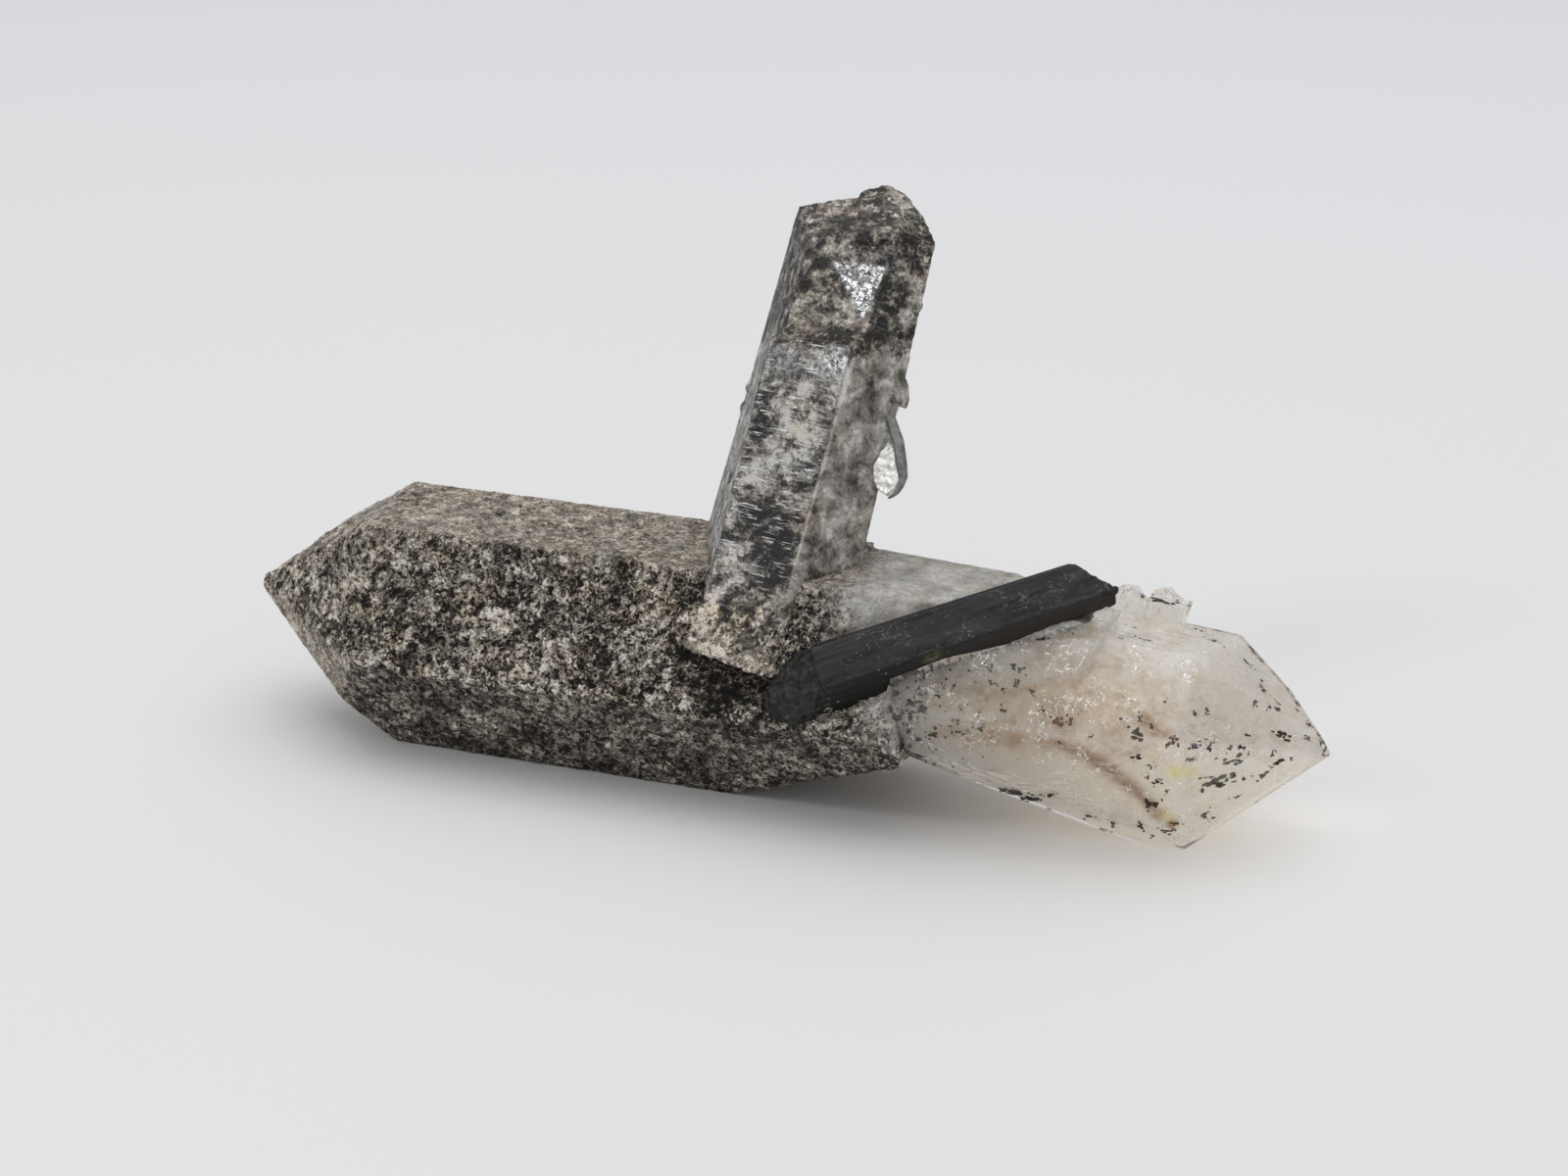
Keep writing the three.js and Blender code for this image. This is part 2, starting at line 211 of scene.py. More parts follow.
def remesh(piece, spacing):
    """Gives the piece small even faces. Spacing is in millimetres."""
    apply_modifier(piece, "REMESH", mode="VOXEL", voxel_size=spacing * MM, use_smooth_shade=True)


def carve(piece, tool, operation="DIFFERENCE"):
    """Boolean with another piece, which is used up."""
    apply_modifier(piece, "BOOLEAN", object=tool, operation=operation, solver="EXACT")
    bpy.data.objects.remove(tool)
    return piece


def relief(piece, kind, size, depth, group="", middle=0.5, detail=2):
    """Pushes the surface in and out by a procedural pattern. Size and depth are millimetres."""
    pattern = bpy.data.textures.new("Relief", kind)
    pattern.noise_scale = size * MM
    if kind == "CLOUDS":
        pattern.noise_depth = detail
    apply_modifier(
        piece, "DISPLACE", texture=pattern, texture_coords="LOCAL", strength=depth * MM, mid_level=middle,
        vertex_group=group,
    )
    bpy.data.textures.remove(pattern)


def points_of(piece):
    values = np.empty(len(piece.data.vertices) * 3)
    piece.data.vertices.foreach_get("co", values)
    return values.reshape(-1, 3)


def normals_of(piece):
    values = np.empty(len(piece.data.vertices) * 3)
    piece.data.vertex_normals.foreach_get("vector", values)
    return values.reshape(-1, 3)


def move_points(piece, points):
    piece.data.vertices.foreach_set("co", points.ravel())
    piece.data.update()


def store(piece, **values):
    """Keeps one number for each point under each name, for the materials to read."""
    for name, numbers in values.items():
        layer = piece.data.attributes.new(name, "FLOAT", "POINT")
        layer.data.foreach_set("value", np.asarray(numbers, dtype=np.float32))


def store_place(piece, places):
    """Keeps each point's place along its crystal's own directions, for patterns that follow them."""
    layer = piece.data.attributes.new("own_place", "FLOAT_VECTOR", "POINT")
    layer.data.foreach_set("vector", places.astype(np.float32).ravel())


def weigh(piece, name, weights):
    group = piece.vertex_groups.new(name=name)
    steps = np.round(np.clip(weights, 0, 1) * WEIGHT_STEPS).astype(int)
    for step in range(1, WEIGHT_STEPS + 1):
        group.add(np.flatnonzero(steps == step).tolist(), step / WEIGHT_STEPS, "REPLACE")
    return name


def ease(values, low, high):
    """From nought at low to one at high, smoothly."""
    t = np.clip((values - low) / (high - low), 0, 1)
    return t * t * (3 - 2 * t)


def fade(*terms):
    """One where every term is nought, fading away as they grow."""
    return np.exp(-sum(term**2 for term in terms))


def noise_at(points, scale=1.0, shift=(0.0, 0.0, 0.0)):
    shift = Vector(shift)
    return np.array([noise.noise(Vector(point) * scale + shift) for point in points])


def wander(points, size, seed=0.0):
    """Smooth noise between -1 and 1 at each point, with lumps of the given millimetres."""
    return noise_at(points, 1 / (size * MM), (seed, seed * 1.7, -seed))


def smooth(piece, angle=None):
    only(piece)
    if angle is None:
        bpy.ops.object.shade_smooth()
    else:
        bpy.ops.object.shade_smooth_by_angle(angle=math.radians(angle))


def join(pieces, name):
    bpy.ops.object.select_all(action="DESELECT")
    for piece in pieces:
        piece.select_set(True)
    bpy.context.view_layer.objects.active = pieces[0]
    bpy.ops.object.join()
    return named(name)


def paint(piece, *materials):
    piece.data.materials.clear()
    for made in materials:
        piece.data.materials.append(made)


# ---------------------------------------------------------------- materials

NUMBER, POINT = "NodeSocketFloat", "NodeSocketVector"
NODES_IN_ROW = 12
QUARTZ_IOR = 1.544
WHITE = (1.0, 1.0, 1.0)
# Light that gets through veils and clouds: its colour and how much of it
THROUGH_MILK = ((1.0, 0.98, 0.95), 0.85)
THROUGH_GLASS = ((0.98, 0.97, 0.95), 1.0)
THROUGH_GRAINS = (WHITE, 0.7)


class Graph:
    """Adds and links the nodes of one shader tree."""

    def __init__(self, tree):
        self.tree = tree

    def feed(self, socket, value):
        """Links a socket or sets its value. A colour is given without its alpha."""
        if isinstance(value, bpy.types.NodeSocket):
            self.tree.links.new(value, socket)
        elif value is not None:
            socket.default_value = (*value, 1.0) if socket.type == "RGBA" else value

    def add(self, kind, values=None, **settings):
        node = self.tree.nodes.new(kind)
        row, column = divmod(len(self.tree.nodes), NODES_IN_ROW)
        node.location = (column * 190, row * -320)
        for key, value in settings.items():
            setattr(node, key, value)
        for key, value in (values or {}).items():
            self.feed(node.inputs[key], value)
        return node

    def math(self, operation, first, second=None, third=None, clamp=False):
        values = {0: first, 1: second, 2: third}
        return self.add("ShaderNodeMath", values, operation=operation, use_clamp=clamp).outputs[0]

    def plus(self, first, second):
        return self.math("ADD", first, second)

    def minus(self, first, second, clamp=False):
        return self.math("SUBTRACT", first, second, clamp=clamp)

    def times(self, first, second, clamp=False):
        return self.math("MULTIPLY", first, second, clamp=clamp)

    def times_plus(self, first, second, third, clamp=False):
        return self.math("MULTIPLY_ADD", first, second, third, clamp)

    def total(self, value, *parts):
        """Adds to a value parts of others, each given with its share."""
        for part, share in parts:
            value = self.times_plus(part, share, value)
        return value

    def vector(self, operation, first, second=None, scale=None):
        values = {0: first, 1: second, 3: scale}
        return self.add("ShaderNodeVectorMath", values, operation=operation).outputs[0]

    def stretched(self, vector, factors):
        return self.vector("MULTIPLY", vector, factors)

    def shifted(self, vector, step):
        return self.vector("ADD", vector, step)

    def span(self, value, low, high, to_low=0.0, to_high=1.0):
        values = {"Value": value, "From Min": low, "From Max": high, "To Min": to_low, "To Max": to_high}
        return self.add("ShaderNodeMapRange", values, clamp=True).outputs[0]

    def mix(self, factor, first, second, blend="MIX"):
        values = {0: factor, 6: first, 7: second}
        return self.add("ShaderNodeMix", values, data_type="RGBA", blend_type=blend).outputs[2]

    def layered(self, colour, *layers):
        """Lays colours over one another, each given with how much of it there is."""
        for share, over in layers:
            colour = self.mix(share, colour, over)
        return colour

    def blend(self, factor, first, second):
        return self.add("ShaderNodeMix", {0: factor, 2: first, 3: second}, data_type="FLOAT").outputs[0]

    def noise(self, vector, scale, detail=2.0, rough=0.5, distort=0.0, out="Fac"):
        values = {
            "Vector": vector, "Scale": scale, "Detail": detail, "Roughness": rough, "Distortion": distort,
        }
        return self.add("ShaderNodeTexNoise", values).outputs[out]

    def cells(self, vector, scale):
        return self.add("ShaderNodeTexVoronoi", {"Vector": vector, "Scale": scale}).outputs

    def channel(self, colour, index):
        return self.add("ShaderNodeSeparateColor", {0: colour}).outputs[index]

    def ramp(self, factor, stops):
        node = self.add("ShaderNodeValToRGB", {0: factor})
        elements = node.color_ramp.elements
        while len(elements) < len(stops):
            elements.new(1.0)
        for element, (place, colour) in zip(elements, stops):
            element.position = place
            element.color = (*colour, 1.0)
        return node.outputs[0]

    def numbers(self, *names):
        """The numbers that the piece keeps for each of its points."""
        return [self.add("ShaderNodeAttribute", attribute_name=name).outputs["Fac"] for name in names]

    def place(self):
        """Object coordinates in millimetres."""
        return self.vector("SCALE", self.add("ShaderNodeTexCoord").outputs["Object"], scale=1 / MM)

    def own_place(self):
        return self.add("ShaderNodeAttribute", attribute_name="own_place").outputs["Vector"]

    def group(self, name, **values):
        """A shared effect, built the first time that it is asked for."""
        node = self.add("ShaderNodeGroup")
        node.node_tree = bpy.data.node_groups.get(name) or EFFECTS[name]()
        for key, value in values.items():
            self.feed(node.inputs[key.replace("_", " ")], value)
        return node.outputs


def shader_group(name, inputs, outputs):
    """Starts a shared effect. Returns its graph, what comes in and what goes out."""
    tree = bpy.data.node_groups.new(name, "ShaderNodeTree")
    for label, kind, value in inputs:
        socket = tree.interface.new_socket(name=label, in_out="INPUT", socket_type=kind)
        if value is not None:
            socket.default_value = value
    for label in outputs:
        tree.interface.new_socket(name=label, in_out="OUTPUT", socket_type=NUMBER)
    return Graph(tree), tree.nodes.new("NodeGroupInput").outputs, tree.nodes.new("NodeGroupOutput").inputs


def speckle_group():
    """Random flaky grains: a tone for each, with fine mottling inside and a height for bumps."""
    graph, given, made = shader_group(
        "Flaky speckle",
        [("Place", POINT, None), ("Grain", NUMBER, 0.5), ("Patch size", NUMBER, 4.0)],
        ["Tone", "Patch", "Height"],
    )
    here = given["Place"]
    density = graph.math("DIVIDE", 1.0, given["Grain"])
    ragged = graph.vector("SUBTRACT", graph.noise(here, 2.2, 1.0, 0.6, out="Color"), (0.5, 0.5, 0.5))
    bent = graph.shifted(here, graph.vector("SCALE", ragged, scale=0.9))
    flakes, small, tiny = (
        graph.channel(graph.cells(bent, graph.times(density, share))["Color"], index)
        for share, index in ((1.4, 0), (2.8, 1), (5.0, 0))
    )
    curls = graph.noise(here, graph.times(density, 1.4), 2.0, 0.6)
    curls = graph.math("ABSOLUTE", graph.times_plus(curls, 2.0, -1.0))
    broad = graph.noise(here, graph.times(density, 0.5), 1.0)
    patch = graph.noise(here, graph.math("DIVIDE", 1.0, given["Patch size"]), 3.0, 0.6)
    tone = graph.times_plus(flakes, 0.32, 0.07)
    tone = graph.total(tone, (small, 0.28), (tiny, 0.14), (curls, -0.75), (broad, 0.42))
    graph.feed(made["Tone"], tone)
    graph.feed(made["Patch"], graph.span(patch, 0.3, 0.7, -1.0, 1.0))
    graph.feed(made["Height"], graph.total(graph.times(flakes, 0.4), (small, 0.4), (curls, -0.9)))
    return graph.tree


def lines_group():
    """Fine growth lines that run across a crystal face or along a rod."""
    graph, given, made = shader_group(
        "Growth lines",
        [("Place", POINT, None), ("Stretch", POINT, (1.0, 1.0, 1.0)), ("Density", NUMBER, 3.0)],
        ["Line", "Height"],
    )
    here = graph.stretched(given["Place"], given["Stretch"])
    broad = graph.noise(here, given["Density"], 3.0, 0.7, 0.3)
    close = graph.noise(here, graph.times(given["Density"], 3.1), 2.0, 0.6)
    height = graph.total(graph.times(broad, 0.6), (close, 0.4))
    graph.feed(made["Line"], graph.span(height, 0.54, 0.66))
    graph.feed(made["Height"], height)
    return graph.tree


def dust_group():
    """Scattered pale specks."""
    graph, given, made = shader_group(
        "Pale dust", [("Place", POINT, None), ("Size", NUMBER, 0.2), ("Amount", NUMBER, 0.2)], ["Mask"]
    )
    specks = graph.cells(given["Place"], graph.math("DIVIDE", 1.0, given["Size"]))
    near = graph.span(specks["Distance"], 0.15, 0.4, 1.0, 0.0)
    chosen = graph.math("LESS_THAN", graph.channel(specks["Color"], 0), given["Amount"])
    graph.feed(made["Mask"], graph.times(near, chosen))
    return graph.tree


EFFECTS = {"Flaky speckle": speckle_group, "Growth lines": lines_group, "Pale dust": dust_group}


def material(name):
    """An empty material. Returns it and its graph."""
    made = bpy.data.materials.new(name)
    made.use_nodes = True
    made.node_tree.nodes.clear()
    return made, Graph(made.node_tree)


def finish_surface(graph, values, bump=None):
    """Principled surface with an optional bump of (height, strength, distance in millimetres)."""
    if bump:
        height, strength, distance = bump
        bump_values = {"Height": height, "Strength": strength, "Distance": distance * MM}
        values["Normal"] = graph.add("ShaderNodeBump", bump_values).outputs[0]
    surface = graph.add("ShaderNodeBsdfPrincipled", values)
    end = graph.add("ShaderNodeOutputMaterial", {"Surface": surface.outputs[0]})
    return surface, end


def let_light_through(graph, surface, end, colour, share):
    """Lets a share of the light through a surface to what lies behind it."""
    through = graph.add("ShaderNodeBsdfTransparent", {"Color": colour})
    shadow = graph.times(graph.add("ShaderNodeLightPath").outputs["Is Shadow Ray"], share)
    both = graph.add("ShaderNodeMixShader", {0: shadow, 1: surface.outputs[0], 2: through.outputs[0]})
    graph.feed(end.inputs["Surface"], both.outputs[0])


STONE_TONES = (
    (0.00, (0.005, 0.0045, 0.004)),
    (0.22, (0.014, 0.0120, 0.010)),
    (0.34, (0.052, 0.0445, 0.037)),
    (0.46, (0.120, 0.104, 0.086)),
    (0.58, (0.215, 0.188, 0.155)),
    (0.72, (0.390, 0.350, 0.295)),
    (0.88, (0.600, 0.550, 0.475)),
    (1.00, (0.850, 0.810, 0.740)),
)
CLOUD_TONES = (
    (0.00, (0.020, 0.020, 0.022)),
    (0.22, (0.045, 0.044, 0.045)),
    (0.40, (0.120, 0.116, 0.112)),
    (0.55, (0.235, 0.228, 0.216)),
    (0.75, (0.385, 0.372, 0.352)),
    (1.00, (0.600, 0.590, 0.570)),
)
MOTTLED_TONES = (
    (0.00, (0.008, 0.0075, 0.007)),
    (0.20, (0.021, 0.0195, 0.018)),
    (0.34, (0.062, 0.057, 0.051)),
    (0.46, (0.135, 0.125, 0.112)),
    (0.60, (0.245, 0.230, 0.208)),
    (0.80, (0.435, 0.418, 0.390)),
    (1.00, (0.740, 0.725, 0.700)),
)
# Painted glints: grey, then near-white where the sparks noise peaks
PAINTED_GLINT_TONES = (
    (0.00, (0.03, 0.03, 0.03)),
    (0.40, (0.07, 0.07, 0.075)),
    (0.46, (0.30, 0.31, 0.32)),
    (0.49, (0.55, 0.56, 0.57)),
    (0.51, WHITE),
)
MILK_TONES = (
    (0.54, (0.56, 0.49, 0.40)),
    (0.68, (0.86, 0.80, 0.71)),
    (0.80, (0.97, 0.94, 0.89)),
    (0.90, (0.97, 0.985, 1.0)),
)
ROOM_TONES = (
    (0.00, (0.55, 0.55, 0.56)),
    (0.12, (0.62, 0.62, 0.64)),
    (0.50, (0.95, 0.96, 1.0)),
    (1.00, (1.15, 1.15, 1.15)),
)


def tinted(graph, here, colour, warm):
    """Brownish and bluish patches over a colour. Warm adds more brown."""
    hue = graph.noise(graph.shifted(here, (3.1, 7.7, 1.3)), 0.40, 4.0, 0.62)
    brown = graph.times_plus(graph.span(hue, 0.48, 0.66), 0.75, warm, clamp=True)
    colour = graph.mix(brown, colour, (1.0, 0.91, 0.80), "MULTIPLY")
    cool = graph.minus(graph.span(hue, 0.46, 0.32, 0.0, 0.5), warm, clamp=True)
    return graph.mix(cool, colour, (0.90, 0.97, 1.0), "MULTIPLY")


def speckled_material():
    """Quartz crusted with dark grains and beige flakes, cloudy grey where it is glassy."""
    made, graph = material("Speckled quartz")
    here = graph.place()
    light, calm, glassy, warm, lift = graph.numbers("light", "calm", "glassy", "warm", "relief")
    speckle = graph.group("Flaky speckle", Place=here, Grain=0.56, Patch_size=2.6)
    dust = graph.group("Pale dust", Place=here, Size=0.22, Amount=0.10)

    # Raised grains are painted lighter and the hollows between them darker: painted shade in the hollows.
    tone = graph.total(graph.minus(speckle["Tone"], 0.5), (lift, 0.22), (speckle["Patch"], 0.09))
    grains = graph.times(tone, graph.blend(calm, 1.7, 0.5))
    crusted = graph.ramp(graph.plus(grains, graph.plus(light, 0.44)), STONE_TONES)

    veil = graph.minus(graph.noise(here, 0.55, 6.0, 0.70, 0.5), 0.5)
    veil = graph.times(veil, graph.blend(calm, -2.6, -0.8))
    veil = graph.times_plus(tone, graph.blend(calm, 0.9, 0.22), veil)
    veil = graph.plus(graph.plus(veil, 0.64), light)
    clouded = graph.ramp(graph.times_plus(dust["Mask"], 0.25, veil), CLOUD_TONES)

    values = {
        "Base Color": tinted(graph, here, graph.mix(glassy, crusted, clouded), warm),
        "Roughness": graph.times_plus(speckle["Height"], 0.35, 0.45, clamp=True),
        "Specular IOR Level": 0.15,
    }
    finish_surface(graph, values, (graph.times(speckle["Height"], graph.blend(glassy, 1.0, 0.3)), 1.0, 0.2))
    return made


def mottled_material():
    """Grey quartz with dark mottling, growth lines across its glossy front and sparkling facets. Glints on
    the facets and lines are painted white, and partly made metallic.
    """
    if "Mottled quartz" in bpy.data.materials:
        return bpy.data.materials["Mottled quartz"]
    made, graph = material("Mottled quartz")
    here, own = graph.place(), graph.own_place()
    names = ("light", "calm", "crusty", "gloss", "warm", "fibre", "sparkle")
    light, calm, crusty, gloss, warm, fibre, sparkle = graph.numbers(*names)
    speckle = graph.group("Flaky speckle", Place=here, Grain=0.78, Patch_size=1.8)
    lines = graph.group("Growth lines", Place=own, Stretch=(0.35, 0.5, 3.4), Density=1.9)

    clouds = graph.noise(here, 0.62, 4.0, 0.62, 0.5)
    flecks = graph.noise(graph.stretched(own, (1.5, 1.5, 0.85)), 1.3, 4.0, 0.66)
    mottle = graph.minus(0.5, graph.blend(fibre, clouds, flecks))
    streak = graph.times(graph.minus(lines["Height"], 0.5), gloss)
    tone = graph.minus(speckle["Tone"], 0.5)
    value = graph.total(
        graph.times(tone, graph.blend(calm, 1.2, 0.3)),
        (mottle, graph.blend(calm, 2.8, 1.7)), (speckle["Patch"], 0.05), (streak, 1.3), (light, 1.25),
    )
    mottled = graph.ramp(graph.plus(value, 0.61), MOTTLED_TONES)
    crusted = graph.ramp(graph.times_plus(tone, 1.7, graph.plus(light, 0.44)), STONE_TONES)
    colour = tinted(graph, here, graph.mix(crusty, mottled, crusted), warm)

    # Painted glints: thin white dashes along the growth lines, where they catch the light; they are also
    # made partly metallic.
    dashes = graph.noise(graph.stretched(own, (0.40, 0.4, 5.0)), 1.5, 3.0, 0.62)
    where = graph.noise(here, 0.9, 2.0, 0.6)
    painted_line_glints = graph.times(graph.span(dashes, 0.575, 0.61), graph.span(where, 0.46, 0.54))
    # Painted glints on the sparkling places; the brightest of them are also made metallic below.
    sparks = graph.noise(here, 3.1, 4.0, 0.78, 0.6)
    painted_glint_colours = graph.ramp(sparks, PAINTED_GLINT_TONES)
    colour = graph.layered(colour, (graph.times(painted_line_glints, gloss), (0.95, 0.95, 0.97)), (sparkle, painted_glint_colours))
    shiny = graph.times(graph.span(sparks, 0.485, 0.52), sparkle)
    shiny = graph.math("MAXIMUM", shiny, graph.times(painted_line_glints, graph.times(gloss, 0.5)))

    height = graph.times(speckle["Height"], graph.blend(crusty, 0.45, 1.0))
    height = graph.total(height, (lines["Height"], graph.times(gloss, 1.2)), (shiny, 0.5))
    rough = graph.times_plus(speckle["Height"], 0.3, graph.blend(gloss, 0.5, 0.12), clamp=True)
    values = {
        "Base Color": colour,
        "Metallic": graph.times(shiny, 0.85),
        "Roughness": graph.blend(shiny, rough, 0.15),
        "Specular IOR Level": 0.4,
    }
    finish_surface(graph, values, (height, 1.0, 0.2))
    return made


def glass(name, tints, rough, clearness, bump):
    """Clear quartz. Its shadow is let through, so that it stays light."""
    made, graph = material(name)
    here = graph.place()
    smear = graph.noise(here, 0.6, 4.0, 0.65)
    lines = graph.group("Growth lines", Place=here, Stretch=(2.4, 0.5, 0.5), Density=0.9)
    height = graph.times_plus(lines["Height"], 0.5, graph.noise(here, 2.2, 3.0, 0.6))
    values = {
        "Base Color": graph.mix(graph.span(smear, 0.35, 0.7), *tints),
        "Roughness": graph.span(smear, 0.3, 0.75, *rough),
        "IOR": QUARTZ_IOR,
        "Metallic": 0.0,
        "Transmission Weight": clearness,
    }
    surface, end = finish_surface(graph, values, (height, bump, 0.12))
    let_light_through(graph, surface, end, *THROUGH_GLASS)
    return made


def sliver_material():
    """Half clear grey quartz with fine lines along it."""
    made, graph = material("Grey sliver quartz")
    cloud = graph.noise(graph.place(), 1.6, 4.0, 0.65)
    colour = graph.mix(graph.span(cloud, 0.35, 0.65), (0.10, 0.10, 0.095), (0.30, 0.30, 0.29))
    values = {
        "Base Color": colour,
        "Roughness": 0.3,
        "IOR": QUARTZ_IOR,
        "Metallic": 0.0,
        "Transmission Weight": 0.15,
    }
    finish_surface(graph, values, (cloud, 0.4, 0.1))
    return made


def bright_material():
    """White quartz that catches the light, with a few grey specks."""
    made, graph = material("Bright small crystal")
    here = graph.place()
    cloud = graph.noise(here, 2.4, 4.0, 0.65)
    grey_specks = graph.span(graph.noise(here, 1.2, 3.0, 0.6, 0.3), 0.60, 0.68)
    colour = graph.mix(graph.span(cloud, 0.38, 0.6), (0.88, 0.88, 0.83), (1.0, 1.0, 0.98))
    colour = graph.mix(grey_specks, colour, (0.22, 0.21, 0.19))
    finish_surface(graph, {"Base Color": colour, "Metallic": 0.7, "Roughness": 0.35}, (cloud, 0.8, 0.12))
    return made


def cloud_material():
    """Beige growth deep inside the clear quartz, thicker and thinner from place to place."""
    made, graph = material("Beige cloud")
    here = graph.place()
    lumps = graph.noise(here, 1.0 / CLOUD_SIZE, 5.0, 0.65, 0.4)
    shade = graph.noise(here, 2.4 / CLOUD_SIZE, 3.0, 0.6)
    colour = graph.mix(graph.span(shade, 0.35, 0.65), (0.62, 0.52, 0.42), (0.80, 0.74, 0.68))
    alpha = graph.span(lumps, 0.35, 0.62, 0.1, 0.6)
    surface, end = finish_surface(graph, {"Base Color": colour, "Roughness": 0.9, "Alpha": alpha})
    let_light_through(graph, surface, end, *THROUGH_MILK)
    return made


def rod_material():
    """Satin black tourmaline: faint lines along it, smears and pale scratches on its broad face."""
    made, graph = material("Black tourmaline")
    own = graph.own_place()
    lift, broad, warm, spot, broken = graph.numbers("relief", "broad", "warm", "spot", "broken")
    lines = graph.group("Growth lines", Place=own, Stretch=(3.2, 3.2, 0.10), Density=2.4)
    dust = graph.group("Pale dust", Place=own, Size=0.26, Amount=0.09)
    cloud = graph.noise(own, 0.55, 4.0, 0.6)
    smears = graph.noise(graph.stretched(own, (1.0, 1.0, 0.22)), 0.9, 4.0, 0.62)
    chunks = graph.noise(own, 1.5, 4.0, 0.7)
    curl = graph.noise(graph.stretched(own, (1.3, 1.3, 0.8)), 1.3, 3.0, 0.6, 0.6)
    thin = graph.math("ABSOLUTE", graph.minus(curl, 0.5))
    scratched = graph.span(graph.noise(own, 0.35, 3.0, 0.6), 0.50, 0.60)
    scratch = graph.times(graph.span(thin, 0.011, 0.004), graph.times(scratched, broad))
    dusty = graph.times(dust["Mask"], graph.span(cloud, 0.46, 0.60))
    colour = graph.layered(
        graph.mix(graph.span(cloud, 0.35, 0.7), (0.005, 0.0055, 0.005), (0.012, 0.0125, 0.012)),
        (broad, graph.mix(graph.span(smears, 0.40, 0.68), (0.0135, 0.014, 0.016), (0.046, 0.047, 0.052))),
        (broken, graph.mix(graph.span(chunks, 0.42, 0.68), (0.007, 0.007, 0.006), (0.045, 0.044, 0.042))),
        (graph.times(lines["Line"], 0.12), (0.060, 0.060, 0.066)),
        (graph.times(scratch, 0.65), (0.30, 0.30, 0.31)),
        (graph.times(dusty, 0.7), (0.30, 0.29, 0.27)),
        (warm, (0.020, 0.016, 0.013)),
        (graph.times(spot, graph.span(curl, 0.42, 0.5)), (0.17, 0.165, 0.07)),
    )
    rough = graph.times_plus(cloud, 0.3, graph.blend(broad, 0.28, 0.33))
    height = graph.total(scratch, (lines["Height"], 0.5), (cloud, 0.4), (lift, 0.4))
    values = {"Base Color": colour, "Roughness": rough, "Specular IOR Level": 0.3}
    finish_surface(graph, values, (height, 0.3, 0.08))
    return made


